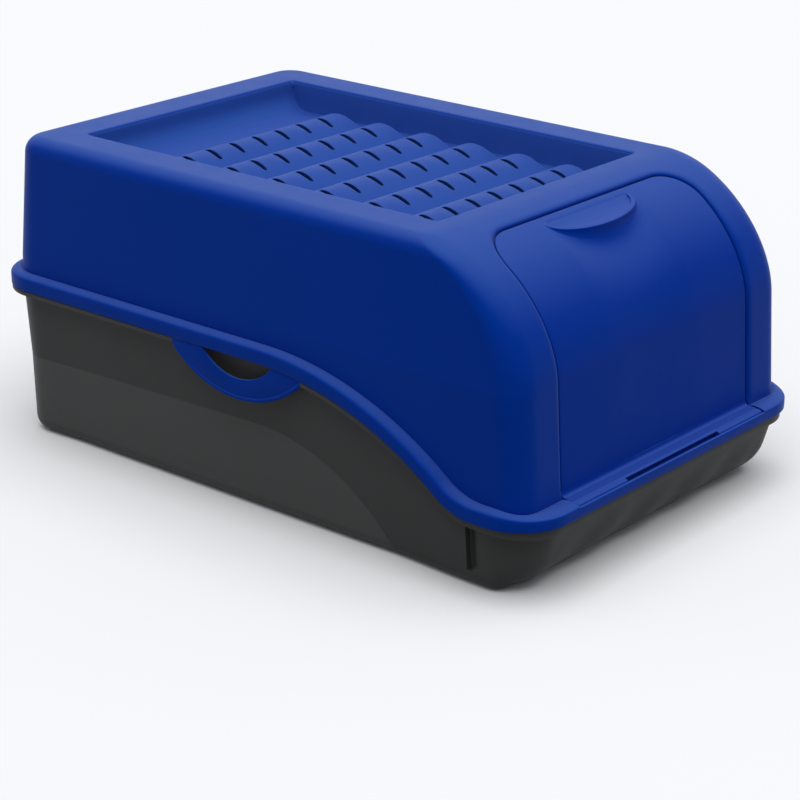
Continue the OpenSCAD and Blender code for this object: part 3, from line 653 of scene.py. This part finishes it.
def build_hood(mat):
    """The hood as one shell, with the lip as a closed form of its own."""
    skin = Skin()
    rows = hood_walls(skin)
    strip_top = front_strip(skin, rows)
    edge = vent_recess(skin)
    hood_top(skin, rows, strip_top, edge)
    hood_rim(skin, rows)
    ob = raw_mesh("hood_shell", skin)
    tidy(ob, WELD)
    land = (BIN_H - 0.5) * MM
    face_out(ob, lambda f: f.normal.z * f.calc_area() if f.calc_center_median().z > land else 0)
    solidify(ob, HOOD_T)
    lip_v, lip_f = lip_piece()
    bm = bmesh.new()
    bm.from_mesh(ob.data)
    vs = [bm.verts.new(tuple(v * MM)) for v in lip_v]
    new = [bm.faces.new([vs[i] for i in f]) for f in lip_f]
    bmesh.ops.recalc_face_normals(bm, faces=new)
    bm.to_mesh(ob.data)
    bm.free()
    finish_mesh(ob, "hood", mat, SHELL_SHARP)
    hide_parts("hood")


# Front flap
GRIP_Y, GRIP_X, GRIP_OUT, GRIP_FOOT = OPEN_Y - GAP - 6.0, 47.0, 18.4, 21.6
GRIP_SLOPE, GRIP_DROP, GRIP_SOFT = 0.231, 0.532, 4
LIP_H, LIP_W, POCKET_BACK = 1.3, 3.3, 3.0
SCOOP_D, SCOOP_FROM, SCOOP_RUN = 3.0, 19.8, 9.5
PANEL_FROM, PANEL_EDGE = 2.2, 0.9


def scoop(x, y):
    """Depth of the hollow for the fingers, steep right under the grip and slow to come back."""
    side = np.maximum(0, 1 - (x / GRIP_X) ** 2)
    u = np.maximum(0, GRIP_Y - SCOOP_FROM * np.sqrt(side) - y) / SCOOP_RUN
    return SCOOP_D * u * np.exp(1 - u) * side ** 0.8


def pocket(x, y):
    """Depth of the hollow behind the grip's lip, which starts softly on the flap's own face."""
    fall = ease((GRIP_Y + POCKET_BACK - y) / 8) * ease((GRIP_X - 2.2 - np.abs(x)) / 3)
    return LIP_H * fall


def flap_at(x, s, depth=0.0):
    """A point of the flap's face, or below it, with the hollows round the grip."""
    y = front_at(x, s)[:, 1]
    behind = np.where(y > GRIP_Y - 0.6, pocket(x, y), 0)
    return front_at(x, s, SINK + depth + scoop(x, y) + behind)


def grip_rows():
    """Rows of the crescent grip from its foot over the lip to its straight back edge."""
    n = 96
    a = np.linspace(0, pi, n + 1)
    chord_s = s_of_y(GRIP_Y)
    chord_z = front_at(0, [chord_s], SINK)[0, 2]

    def top(y):
        u = np.maximum(0, GRIP_Y - y)
        return chord_z - GRIP_SLOPE * u - GRIP_DROP * (1 - np.exp(-u / GRIP_SOFT))
    foot = cols(GRIP_X * np.cos(a), GRIP_Y - GRIP_FOOT * np.sin(a))
    foot3 = flap_at(foot[:, 0], s_of_y(foot[:, 1]))
    edge_x = GRIP_X - 0.8
    edge = cols(edge_x * np.cos(a), GRIP_Y - GRIP_OUT * np.sin(a))
    nrm = cols(-GRIP_OUT * np.cos(a), edge_x * np.sin(a))
    nrm /= np.linalg.norm(nrm, axis=1)[:, None]
    room = np.maximum(0.02, top(edge[:, 1]) - foot3[:, 2])
    k = np.clip(room / 1.5, 0.03, 1)
    rows = [foot3]
    low3 = with_z(edge, top(edge[:, 1]) - 0.5 * k)
    for t in (0.05, 0.15, 0.3, 0.5, 0.7, 0.85, 1.0):
        p = foot3 + (low3 - foot3) * t
        bow = 0.9 * np.sin(pi * t) * np.clip(room / 8, 0, 1)
        p[:, :2] += nrm * bow[:, None]
        rows.append(p)
    across = [(0.12, -0.2), (0.35, -0.04), (0.7, 0.0), (1.5, 0.0), (2.3, 0.0), (LIP_W - 0.35, 0.0),
              (LIP_W - 0.12, -0.05), (LIP_W, -0.2), (LIP_W + 0.15, -0.75), (LIP_W + 0.4, -1.1),
              (LIP_W + 0.8, -LIP_H)]
    for w, h in across:
        q = edge + nrm * w
        q[:, 1] = np.minimum(q[:, 1], GRIP_Y)
        rows.append(with_z(q, top(q[:, 1]) + (h if w > 1 else h * k)))
    inner = rows[-1]
    for t in (0.25, 0.5, 0.75, 1.0):
        y = inner[:, 1] + (GRIP_Y - inner[:, 1]) * t
        k = ease(t * 2)
        z = (top(y) - pocket(inner[:, 0], y)) * k + (top(y) - LIP_H) * (1 - k)
        rows.append(cols(inner[:, 0], y, z))
    rows = np.array(rows)
    # The two tips and the back edge lie on the flap's own face
    for i in (0, n):
        rows[:, i] = flap_at(rows[:, i, 0], chord_s)
    rows[-1] = flap_at(rows[-1, :, 0], chord_s)
    loop = [(foot[i, 0], s_of_y(foot[i, 1])) for i in range(1, n)]
    loop += [(rows[r, n, 0], chord_s) for r in range(len(rows) - 1)]
    loop += [(rows[-1, i, 0], chord_s) for i in range(n, -1, -1)]
    loop += [(rows[r, 0, 0], chord_s) for r in range(len(rows) - 2, -1, -1)]
    clean = [loop[0]]
    for p in loop[1:]:
        if abs(p[0] - clean[-1][0]) + abs(p[1] - clean[-1][1]) > 1e-4:
            clean.append(p)
    return rows, np.array(clean)


def flap_skin(skin, hole):
    """The flap's face round its grip; gives back the place along the outline where it starts."""
    line = opening_line()
    line = line[line[:, 1] >= PANEL_FROM]
    edge_rows = [border(line, -GAP - d, h, taper=False)
                 for d, h in rounding(PANEL_EDGE, PANEL_EDGE, 7)]
    upper = cols(*edge_rows[0][:2])
    s0 = upper[0][1]
    foot = cols(np.linspace(-upper[0][0], upper[0][0], 71)[1:-1], s0)
    outer = np.concatenate([foot, upper])
    back = cols(np.linspace(-46, 46, 60), s_of_y(GRIP_Y + 1.4))
    g = loose(np.arange(-102, 102.1, 2.0), np.arange(s0 + 1.6, S_END, 2.0))
    g = g[inside(outer, g) & ~near(outer, g, 1.2) & ~near(hole, g, 0.8)]
    v, f = triangulate(outer, [hole], [(back, False)], g)
    skin.add(flap_at(v[:, 0], v[:, 1]), f)
    skin.grid([flap_at(x, s, h) for x, s, h in edge_rows])
    return s0


def build_flap(mat):
    skin = Skin()
    rows, hole = grip_rows()
    s0 = flap_skin(skin, hole)
    ob = raw_mesh("flap_panel", skin)
    tidy(ob, WELD)
    face_out(ob, lambda f: -f.normal.y * f.calc_area())
    solidify(ob, FLAP_T)
    finish_mesh(ob, "flap", mat, SHELL_SHARP)
    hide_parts("front_flap")
    build_foot(mat, s0)
    grip = Skin()
    grip.grid(rows)
    ob = new_mesh("flap_grip", grip, "flap", mat, sharp=42, weld=0.004)


def build_foot(mat, s0):
    """The ribbed strip that steps down over the rim to the hinge barrel."""
    top, back = front_at(0, [s0], SINK)[0], front_at(0, [s0], SINK + FLAP_T)[0]
    y_in, z_in = WALL_FY + SINK - 2.2, FOOT_Z - 0.5
    y_out, z_out = HINGE_Y, HINGE_Z + BARREL_R
    ribs, rib_n = [], 5
    rib = [(0.4, 0), (0.27, 0.17), (0.1, 0.3), (-0.1, 0.3), (-0.27, 0.17), (-0.4, 0)]
    for i in range(rib_n):
        y_rib = y_in - 0.9 + (HINGE_Y + 3.4 - y_in + 0.9) * i / (rib_n - 1)
        for dy, h in rib:
            y = y_rib + dy
            ribs.append((y, z_out + (z_in - z_out) * (y - y_out) / (y_in - y_out) + h))
    barrel = round_hinge(BARREL_R, np.arange(100, 331, 10))
    edge_y = HINGE_Y + 0.5
    thin = [(edge_y + 0.35, z_out + 0.04), (edge_y + 0.1, z_out - 0.06), (edge_y, z_out - 0.3),
            (edge_y, z_out - 0.75), (edge_y + 0.5, z_out - 1.1), (edge_y + 2.4, HINGE_Z + 1.7),
            (edge_y + 2.6, HINGE_Z + 0.4)]
    under = [(HINGE_Y + 2.8, HINGE_Z + 0.2), (back[1], FOOT_Z - 2.3), (back[1], back[2])]
    head = [(top[1], top[2] + 0.1), (top[1] - 0.05, FOOT_Z + 1.9), (top[1] - 0.3, FOOT_Z + 1.1),
            (top[1] - 0.9, FOOT_Z + 0.3), (y_in + 0.4, z_in + 0.12), (y_in, z_in)]
    full = head + ribs + [(y_out, z_out)] + barrel + under
    cut = head + ribs + thin + under[1:]
    skin = Skin()
    end = OPEN_X - GAP
    for prof, x0, x1 in ((full, -end, -SLOT_X), (cut, -SLOT_X, SLOT_X), (full, SLOT_X, end)):
        skin.add(*extrude(prof, x0, x1, 12))
    pin = round_hinge(PIN_R, np.linspace(0, 360, 25)[:-1])
    skin.add(*extrude(pin, -end - 4, -end + 0.5))
    skin.add(*extrude(pin, end - 0.5, end + 4))
    ob = new_mesh("flap_foot", skin, "flap", mat, sharp=30, weld=0)


# Side latches
LATCH_R, LATCH_DROP, HOLE_R, HOLE_DROP, LATCH_Y = 81.3, 29.3, 40.6, 14.8, 1.0
LATCH_CZ, HOLE_CZ = RIM_REAR - LATCH_DROP + LATCH_R, RIM_REAR - HOLE_DROP + HOLE_R
LATCH_OUT, LATCH_T, LATCH_EDGE = HALF_W - 0.6, 1.8, 0.45
BEAD = [(0.35, -0.3), (0.4, 0.25), (0.75, 0.52), (1.4, 0.6), (2.1, 0.52), (2.6, 0.25), (2.9, -0.3)]


def latch_outline():
    """The half-moon seen from the side, as points (y, z) that go round it once."""
    z1 = RIM_REAR - 0.3

    def lid(y):
        return float(min(z1, rim_z(y) - 0.3))
    out = []
    half = sqrt(LATCH_R ** 2 - (LATCH_CZ - z1) ** 2)
    hole = sqrt(HOLE_R ** 2 - (HOLE_CZ - z1) ** 2)
    for y in np.linspace(half, -half, 80):
        z = LATCH_CZ - sqrt(LATCH_R ** 2 - y * y)
        if z < lid(LATCH_Y + y) - 0.05:
            out.append((LATCH_Y + y, z))
    out += [(y, lid(y)) for y in np.linspace(out[-1][0], LATCH_Y - hole, 14)[1:]]
    for y in np.linspace(-hole, hole, 46)[1:]:
        out.append((LATCH_Y + y, HOLE_CZ - sqrt(HOLE_R ** 2 - y * y)))
    out.append((LATCH_Y + half - 0.6, z1))
    return np.array(out)


def build_latch(side, name, mat):
    """One half-moon plate with rounded edges, on the left (side -1) or the right (side 1)."""
    bm = bmesh.new()
    vs = [bm.verts.new((side * LATCH_OUT * MM, y * MM, z * MM)) for y, z in latch_outline()]
    ext = bmesh.ops.extrude_face_region(bm, geom=[bm.faces.new(vs)])
    moved = [v for v in ext["geom"] if isinstance(v, bmesh.types.BMVert)]
    bmesh.ops.translate(bm, verts=moved, vec=(-side * LATCH_T * MM, 0, 0))
    bmesh.ops.recalc_face_normals(bm, faces=bm.faces)
    rims = [e for e in bm.edges if abs(e.verts[0].co.x - e.verts[1].co.x) < 1e-7]
    bmesh.ops.bevel(bm, geom=rims, offset=LATCH_EDGE * MM, segments=3, profile=0.5, affect="EDGES")
    # The raised bead along the outer arc
    half = acos((LATCH_CZ - (RIM_REAR - 5.0)) / LATCH_R)
    rows = []
    for a in np.linspace(-half, half, 90):
        fade = ease((half - abs(a)) / 0.05)
        row = []
        for d, h in BEAD:
            rr = LATCH_R - d
            x = side * (LATCH_OUT + h * fade - 0.1 * (1 - fade))
            y, z = LATCH_Y + rr * sin(a), LATCH_CZ - rr * cos(a)
            row.append(bm.verts.new((x * MM, y * MM, z * MM)))
        rows.append(row)
    for r0, r1 in zip(rows, rows[1:]):
        for i in range(len(BEAD) - 1):
            bm.faces.new((r0[i], r0[i + 1], r1[i + 1], r1[i]))
    bmesh.ops.recalc_face_normals(bm, faces=bm.faces)
    me = bpy.data.meshes.new(name)
    bm.to_mesh(me)
    bm.free()
    ob = put(name, me)
    body = "latch_left" if side < 0 else "latch_right"
    finish_mesh(ob, body, mat, 40)
    node = "side_" + body
    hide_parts(node)


# Tub
BAND, PANEL = tan(radians(4.9)), tan(radians(1.7))
CREASE_Z, CREASE_Y, CREASE_R, CREASE_FALL = 62.0, -5.0, 147.0, 0.022
FLOOR_R, FLOOR_FR, TUB_FR = 10.0, 24.0, 28.0
PROW, PROW_Z0, PROW_Z1 = 8.5, 7.0, 46.0
GROOVE_Y, GROOVE_L, GROOVE_D, GROOVE_Z = -183.0, 11.5, 3.5, 11.0
SLOT_END, RAMP_FROM, RAMP_D = 4.7, 5.0, 1.9
FLUTE, FLUTE_D, FLUTE_LEAN, FLUTE_TOP, FLUTE_X = 54.0, 1.5, 0.55, 44, 118
LOW_TOP, FLANGE_IN, HAND_GAP = 26, 2.8, 56.0
REAR_EASE, REAR_FROM, REAR_RUN, FLUSH_FROM, FLUSH_RUN = 0.28, 165, 45, -205, 130
SKIRT_DROP, SKIRT_FRONT, SKIRT_FLUSH, SKIRT_HAND = 5.0, 1.6, 3.6, 6.0
LOW_Z = [0, 0.15, 0.6, 1.3, 2.3, 3.6, 5, 6.5, 8, 9.3, 10.4, 10.9, 11.3, 11.8, 12.6, 13.5, 14.6, 16,
         18, 20, 22, 24, LOW_TOP]


def crease_at(y):
    """Height of the crease, which falls gently to the rear and in an arc to the front."""
    d = CREASE_Y - y
    drop = np.sqrt(np.maximum(0, CREASE_R ** 2 - np.clip(d, 0, CREASE_R) ** 2))
    fall = CREASE_Z - CREASE_R + drop
    return np.where(y > CREASE_Y, CREASE_Z - CREASE_FALL * (y - CREASE_Y), fall)


def wall_in(y, z, top):
    """How far the leaning wall stands in, with one lean above the crease and another below."""
    c = np.minimum(crease_at(y), top)
    return np.where(z >= c, BAND * (top - z), BAND * (top - c) + PANEL * (c - z))


def bend_in(r, z):
    """How far the rounding at the floor stands in."""
    return np.where(z < r, r - np.sqrt(np.maximum(0, r * r - (r - np.clip(z, 0, r)) ** 2)), 0)


def groove(y, z, side_w):
    """Depth of the groove behind each front corner: a deep slot, then a shallow ramp."""
    d = GROOVE_Y - y
    slot = GROOVE_D * ease(d / 0.5) * ease((SLOT_END - d) / 0.5)
    fade = np.clip((GROOVE_L - d) / (GROOVE_L - RAMP_FROM - 0.4), 0, 1)
    ramp = RAMP_D * fade * ease((d - RAMP_FROM) / 0.4)
    foot, ramp_foot = ease((z - GROOVE_Z) / 0.7), ease((z - GROOVE_Z - 1.5) / 2.0)
    return (slot * foot + ramp * ramp_foot) * side_w


def flutes(x, z):
    """Depth of the shallow leaning flutes of the front wall."""
    phase = x - FLUTE_LEAN * (z - 14) + 8
    wave = 0.5 - 0.5 * np.cos(2 * np.pi * phase / FLUTE)
    fade = ease((z - 1) / 9) * ease((FLUTE_TOP - z) / 22) * ease((FLUTE_X - np.abs(x)) / 14)
    return FLUTE_D * wave * fade


def build_tub(mat):
    """The tub as closed rows up the outside, over the flange and down the inside."""
    # The side's places are closer together across the groove
    span = SIDE_Y1 - SIDE_Y0
    ys = np.sort(np.concatenate([np.arange(GROOVE_Y - GROOVE_L - 1.5, GROOVE_Y + 1.6, 0.5),
                                 SIDE_T * span + SIDE_Y0]))
    ys = ys[np.concatenate([[True], np.diff(ys) > 0.3])]
    places = (ys - SIDE_Y0) / span
    fn = 110

    def full(plan):
        """A plan with the points of the straight front added, so that it goes all the way round."""
        x0 = plan[0][0]
        xs = np.linspace(-x0, x0, fn + 1)[1:-1]
        return np.concatenate([plan, cols(xs, plan[0][1])])

    a = turns(0, 90, CN + 1)
    nrm = []
    for turn, flat, n in ((-pi / 2, (1.0, 0), len(places)), (0, (0.0, 1), REAR_N - 1),
                          (pi / 2, (-1.0, 0), len(places)), (pi, (0.0, -1), fn - 1)):
        nrm += [cols(np.cos(a + turn), np.sin(a + turn)), np.tile(flat, (n, 1))]
    nrm = np.concatenate(nrm)
    wall = full(wall_plan(0, TUB_FR, places))
    wall_b = full(wall_plan(WALL, TUB_FR, places))
    rim = full(rim_plan(0, places))
    w = share(rim)
    base = rim_z(rim[:, 1])
    side_w = (np.abs(nrm[:, 0]) > 0.999).astype(float)
    rear_w = ease((wall[:, 1] - REAR_FROM) / REAR_RUN)
    prow = PROW * np.clip((WALL_FY + TUB_FR - wall[:, 1]) / TUB_FR, 0, 1)
    front_w = (nrm[:, 1] < -0.999).astype(float)

    def skin_row(z, inset, detail=True):
        """One row round the wall, at an inset from its outer face."""
        z = np.broadcast_to(np.asarray(z, float), (len(wall),))
        zz = np.maximum(z, inset)
        bend = bend_in(FLOOR_R, zz) * (1 - w) + bend_in(FLOOR_FR, zz) * w
        e = wall_in(wall[:, 1], z, base) * (1 - REAR_EASE * rear_w) + bend + inset
        if detail:
            e += groove(wall[:, 1], z, side_w) + flutes(wall[:, 0], z) * front_w
        p = wall - nrm * e[:, None]
        p[:, 1] -= prow * np.clip((z - PROW_Z0) / (PROW_Z1 - PROW_Z0), 0, 1)
        return with_z(p, z)

    def skin_rows(z0, z1, n, inset):
        return [skin_row(z0 + (z1 - z0) * t, inset) for t in np.linspace(0, 1, n)[1:]]

    def forward(plan):
        return plan - cols(prow * 0, prow)

    skirt = SIDE_SKIRT * (1 - w) - FLANGE_FRONT_H * w
    height = FLANGE_H * (1 - w) + FLANGE_FRONT_H * w
    under = np.maximum(0, height - FLANGE_T)
    top_out, top_in = base + skirt + under, base + skirt + height
    crease = np.minimum(np.maximum(crease_at(wall[:, 1]), LOW_TOP + 1.0), top_out - 6)
    rows = [skin_row(z, 0) for z in LOW_Z]
    rows += skin_rows(LOW_TOP, crease, 9, 0) + skin_rows(crease, top_out, 9, 0)
    foot_in = full(rim_plan(FLANGE_IN + 2.2, places))
    foot_out = full(rim_plan(FLANGE_IN, places))
    wall_top, wall_in_top = forward(wall), forward(wall_b)
    rows[-1] = with_z(wall_top, top_out)
    for a in turns(90, 0, 8)[1:]:
        p = foot_in + (wall_top - foot_in) * (1 - cos(a))
        rows.append(with_z(p, base + skirt + under * sin(a)))
    # The flange's skirt is cut away behind each latch, so that fingers can get in
    y0, y1 = LATCH_Y - HAND_GAP, LATCH_Y + HAND_GAP
    gap_w = ease((foot_out[:, 1] - y0) / 2.5) * ease((y1 - foot_out[:, 1]) / 2.5) * side_w
    flush = ease((foot_out[:, 1] - FLUSH_FROM) / FLUSH_RUN) * (1 - gap_w)
    low = base - ((SKIRT_DROP + SKIRT_FRONT * w) * (1 - flush) + SKIRT_FLUSH * flush
                  - SKIRT_HAND * gap_w)
    high = np.maximum(base - 0.45, low + 1.3)
    out3, in3 = full(rim_plan(0, places)), full(rim_plan(3.0, places))
    rows.append(with_z(foot_in, low))
    for step, z in ((0.6, low), (0.2, low + 0.12), (0.0, low + 0.5), (0.0, high - 0.5),
                    (0.08, high - 0.15), (0.3, high)):
        edge = (FLANGE_IN - 0.15) * (1 - flush) + 0.5 * flush + step
        rows.append(with_z(out3 + (in3 - out3) * (edge / 3.0)[:, None], z))
    rows.append(with_z(foot_out, high + 0.02))
    for a in turns(0, 90, 10):
        p = foot_out + (wall_in_top - foot_out) * (1 - cos(a))
        rows.append(with_z(p, base + skirt + height * sin(a)))
    rows += skin_rows(top_in, crease, 7, WALL) + skin_rows(crease, LOW_TOP, 7, WALL)
    rows += [skin_row(z, WALL) for z in LOW_Z[-2::-1] if z > WALL + 0.1]
    rows.append(skin_row(WALL, WALL + 0.6, detail=False))
    skin = Skin()
    skin.grid(rows, closed=True)
    n = len(wall)
    skin.faces.append(tuple(range(n)))
    skin.faces.append(tuple(range((len(rows) - 1) * n, len(rows) * n)))
    ob = new_mesh("tub_shell", skin, "base", mat, sharp=30, weld=0)
    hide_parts("tub")


# Materials
def add_node(nt, kind, sets=None, links=None):
    """A shader node, with some of its inputs set to values and others linked."""
    n = nt.nodes.new(kind)
    for key, value in (sets or {}).items():
        n.inputs[key].default_value = value
    for key, socket in (links or {}).items():
        nt.links.new(socket, n.inputs[key])
    return n


def calc(nt, op, a, b=None, clamp=False):
    """The result of a math node on sockets or numbers."""
    n = add_node(nt, "ShaderNodeMath")
    n.operation, n.use_clamp = op, clamp
    for k, v in enumerate((a, b)):
        if isinstance(v, bpy.types.NodeSocket):
            nt.links.new(v, n.inputs[k])
        elif v is not None:
            n.inputs[k].default_value = v
    return n.outputs[0]


def blend(nt, fac, under, over):
    """One colour over another by a factor; the lower one is a socket or a colour too."""
    n = nt.nodes.new("ShaderNodeMix")
    n.data_type = "RGBA"
    nt.links.new(fac, n.inputs[0])
    if isinstance(under, bpy.types.NodeSocket):
        nt.links.new(under, n.inputs[6])
    else:
        n.inputs[6].default_value = (*under, 1)
    n.inputs[7].default_value = (*over, 1)
    return n.outputs[2]


def split_xyz(nt, vector):
    return add_node(nt, "ShaderNodeSeparateXYZ", links={0: vector}).outputs


# Mask for the painted light inside the vent recess, where light bounces between its walls.
def in_recess(nt, place):
    """One inside the vent recess, seen from above, and nought outside."""
    at = split_xyz(nt, place)
    slack, mid, half = 0.3, (VENT_Y0 + VENT_Y1) / 2, (VENT_Y1 - VENT_Y0) / 2
    held = calc(nt, "LESS_THAN", calc(nt, "ABSOLUTE", at["X"]), (VENT_X + slack) * MM)
    along = calc(nt, "ABSOLUTE", calc(nt, "SUBTRACT", at["Y"], mid * MM))
    return calc(nt, "MULTIPLY", held, calc(nt, "LESS_THAN", along, (half + slack) * MM))


# Mask for the painted light on the tub below its crease.
def below_crease(nt, place):
    """One below the tub's crease and nought above it, with a blend of about a millimetre."""
    at, per_metre = split_xyz(nt, place), 900.0
    back = calc(nt, "SUBTRACT", CREASE_Y * MM, at["Y"])
    run = calc(nt, "MINIMUM", calc(nt, "MAXIMUM", back, 0.0), CREASE_R * MM)
    square = calc(nt, "MULTIPLY", run, run)
    root = calc(nt, "SQRT", calc(nt, "SUBTRACT", (CREASE_R * MM) ** 2, square))
    rear = calc(nt, "MULTIPLY", calc(nt, "MINIMUM", back, 0.0), CREASE_FALL)
    line = calc(nt, "ADD", calc(nt, "ADD", root, (CREASE_Z - CREASE_R) * MM), rear)
    under = calc(nt, "SUBTRACT", line, at["Z"])
    return calc(nt, "ADD", calc(nt, "MULTIPLY", under, per_metre), 0.5, clamp=True)


# Mask for the painted sheen of top light.
def facing_up(nt, normal):
    """One on level faces that look up, falling softly to nought as they tilt."""
    up = add_node(nt, "ShaderNodeMapRange", {"From Min": 0.45, "From Max": 1.0},
                  {"Value": split_xyz(nt, normal)["Z"]})
    up.interpolation_type = "SMOOTHSTEP"
    return up.outputs["Result"]


def plastic(name, color, dark, rough, grain, gloss=0.05, tint=(0.1, 0.85, 1.0), sheen=0.12,
            painted_top_sheen=None, panel=None, recess=None):
    """Moulded plastic: slow colour drift, a fine sanded grain and uneven gloss.

    The photo's lighter tones are laid over the colour as painted light: light bounced about
    inside the vent recess, a sheen of top light on faces that look up, and light on the tub below
    its crease, where the leaning band above it stays in shade.
    """
    mat = bpy.data.materials.new(name)
    mat.use_nodes = True
    nt = mat.node_tree
    nt.nodes.clear()
    coord = add_node(nt, "ShaderNodeTexCoord").outputs
    place = coord["Object"]

    def noise(scale, detail, roughness):
        sets = {"Scale": scale, "Detail": detail, "Roughness": roughness}
        return add_node(nt, "ShaderNodeTexNoise", sets, {"Vector": place}).outputs["Fac"]

    tone = blend(nt, noise(9.0, 3.0, 0.55), color, dark)
    # Painted light: light bouncing between the walls of the vent recess is painted into the colour
    # there.
    if recess:
        tone = blend(nt, in_recess(nt, place), tone, recess)
    # Painted sheen: top light on faces that look up is painted into the colour.
    if painted_top_sheen:
        tone = blend(nt, facing_up(nt, coord["Normal"]), tone, painted_top_sheen)
    # Painted light: the tub is painted lighter below its crease, and the leaning band above keeps
    # the darker colour for its shade.
    if panel:
        tone = blend(nt, below_crease(nt, place), tone, panel)
    bump = add_node(nt, "ShaderNodeBump", {"Strength": grain, "Distance": 0.0002},
                    {"Height": noise(1300.0, 2.0, 0.6)})
    span = add_node(nt, "ShaderNodeMapRange",
                    {"From Min": 0.3, "From Max": 0.7, "To Min": rough - 0.04,
                     "To Max": rough + 0.05}, {"Value": noise(45.0, 5.0, 0.65)})
    bsdf = add_node(nt, "ShaderNodeBsdfPrincipled",
                    {"Specular IOR Level": gloss, "IOR": 1.45, "Specular Tint": (*tint, 1),
                     "Sheen Weight": sheen, "Sheen Roughness": 0.4,
                     "Sheen Tint": (0.7, 0.95, 1.0, 1)},
                    {"Base Color": tone, "Roughness": span.outputs["Result"],
                     "Normal": bump.outputs["Normal"]})
    add_node(nt, "ShaderNodeOutputMaterial", links={"Surface": bsdf.outputs["BSDF"]})
    return mat


# The lighter blues laid over the base are painted light: a sheen of top light on faces that look up
# and, on the hood, light bounced about inside the vent recess.
blue = plastic("hood_blue", (0.0010, 0.037, 0.350), (0.0008, 0.033, 0.325), rough=0.46, grain=0.12,
               painted_top_sheen=(0.034, 0.087, 0.395), recess=(0.034, 0.108, 0.450))
flap_blue = plastic("flap_blue", (0.0008, 0.034, 0.343), (0.0006, 0.031, 0.318), rough=0.46,
                    grain=0.12, sheen=0.04, painted_top_sheen=(0.036, 0.088, 0.400))
# The lighter grey for below the crease is painted light, with the band above left darker as its
# shade.
grey = plastic("tub_grey", (0.059, 0.059, 0.058), (0.053, 0.053, 0.053), rough=0.50, grain=0.25,
               gloss=0.13, tint=(1, 1, 1), sheen=0.05, panel=(0.086, 0.086, 0.085))

build_tub(grey)
build_hood(blue)
build_flap(flap_blue)
build_latch(-1, "latch_left_plate", blue)
build_latch(1, "latch_right_plate", blue)
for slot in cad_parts["hinge_sill"].material_slots:
    slot.material = blue


# Floor, light and camera
FLOOR_HALF = 4000.0
SEEN, FELT = (1, 1, 1, 1), (0.3, 0.3, 0.3, 1)
SOFT_COLOR, SOFT_STRENGTH = (0.9, 0.93, 1.0, 1), 0.34
SUN_ENERGY, SUN_ANGLE, SUN_DIR = 2.05, 70, (0.08, 0.13, -1)
CAM_AZ, CAM_EL, CAM_ROLL = -49.97, 21.168, 0.307
CAM_LENS, CAM_SENSOR, CAM_AT = 107.34, 36.0, (-1.1948, -1.0113, 0.6416)


def two_ways(nt, kind, felt, seen, out):
    """Gives soft light one shader, and what the picture sees, straight or reflected, another."""
    path = add_node(nt, "ShaderNodeLightPath").outputs
    direct = calc(nt, "MAXIMUM", path["Is Camera Ray"], path["Is Glossy Ray"])
    direct = calc(nt, "MAXIMUM", direct, path["Is Transmission Ray"])
    mix = add_node(nt, "ShaderNodeMixShader",
                   links={0: direct, 1: add_node(nt, kind, felt).outputs[0],
                          2: add_node(nt, kind, seen).outputs[0]})
    add_node(nt, out, links={"Surface": mix.outputs["Shader"]})


def stage():
    ground = Skin()
    s = FLOOR_HALF
    ground.add([(-s, -s, 0), (s, -s, 0), (s, s, 0), (-s, s, 0)], [(0, 1, 2, 3)])
    ob = raw_mesh("floor", ground)
    mat = bpy.data.materials.new("floor_white")
    mat.use_nodes = True
    mat.node_tree.nodes.clear()
    two_ways(mat.node_tree, "ShaderNodeBsdfDiffuse", {"Color": FELT}, {"Color": SEEN},
             "ShaderNodeOutputMaterial")
    ob.data.materials.append(mat)

    world = bpy.data.worlds.new("studio")
    bpy.context.scene.world = world
    world.use_nodes = True
    world.node_tree.nodes.clear()
    two_ways(world.node_tree, "ShaderNodeBackground",
             {"Color": SOFT_COLOR, "Strength": SOFT_STRENGTH}, {"Color": SEEN, "Strength": 1.0},
             "ShaderNodeOutputWorld")

    data = bpy.data.lights.new("overhead", "SUN")
    data.energy = SUN_ENERGY
    data.angle = radians(SUN_ANGLE)
    sun = put("overhead", data)
    sun.rotation_euler = Vector(SUN_DIR).to_track_quat("-Z", "Y").to_euler()


def camera():
    """The photo's camera, fitted to its edges."""
    az, el, roll = map(radians, (CAM_AZ, CAM_EL, CAM_ROLL))
    back = Vector((sin(az) * cos(el), -cos(az) * cos(el), sin(el)))
    x = Vector((0, 0, 1)).cross(back).normalized()
    y = back.cross(x)
    cam = bpy.data.cameras.new("photo_camera")
    cam.lens, cam.sensor_width = CAM_LENS, CAM_SENSOR
    ob = put("photo_camera", cam)
    m = ob.matrix_world.to_3x3()
    m.col[0] = cos(roll) * x + sin(roll) * y
    m.col[1] = -sin(roll) * x + cos(roll) * y
    m.col[2] = back
    full = m.to_4x4()
    full.translation = Vector(CAM_AT)
    ob.matrix_world = full
    bpy.context.scene.camera = ob


stage()
camera()
bpy.context.scene.view_settings.view_transform = "Standard"
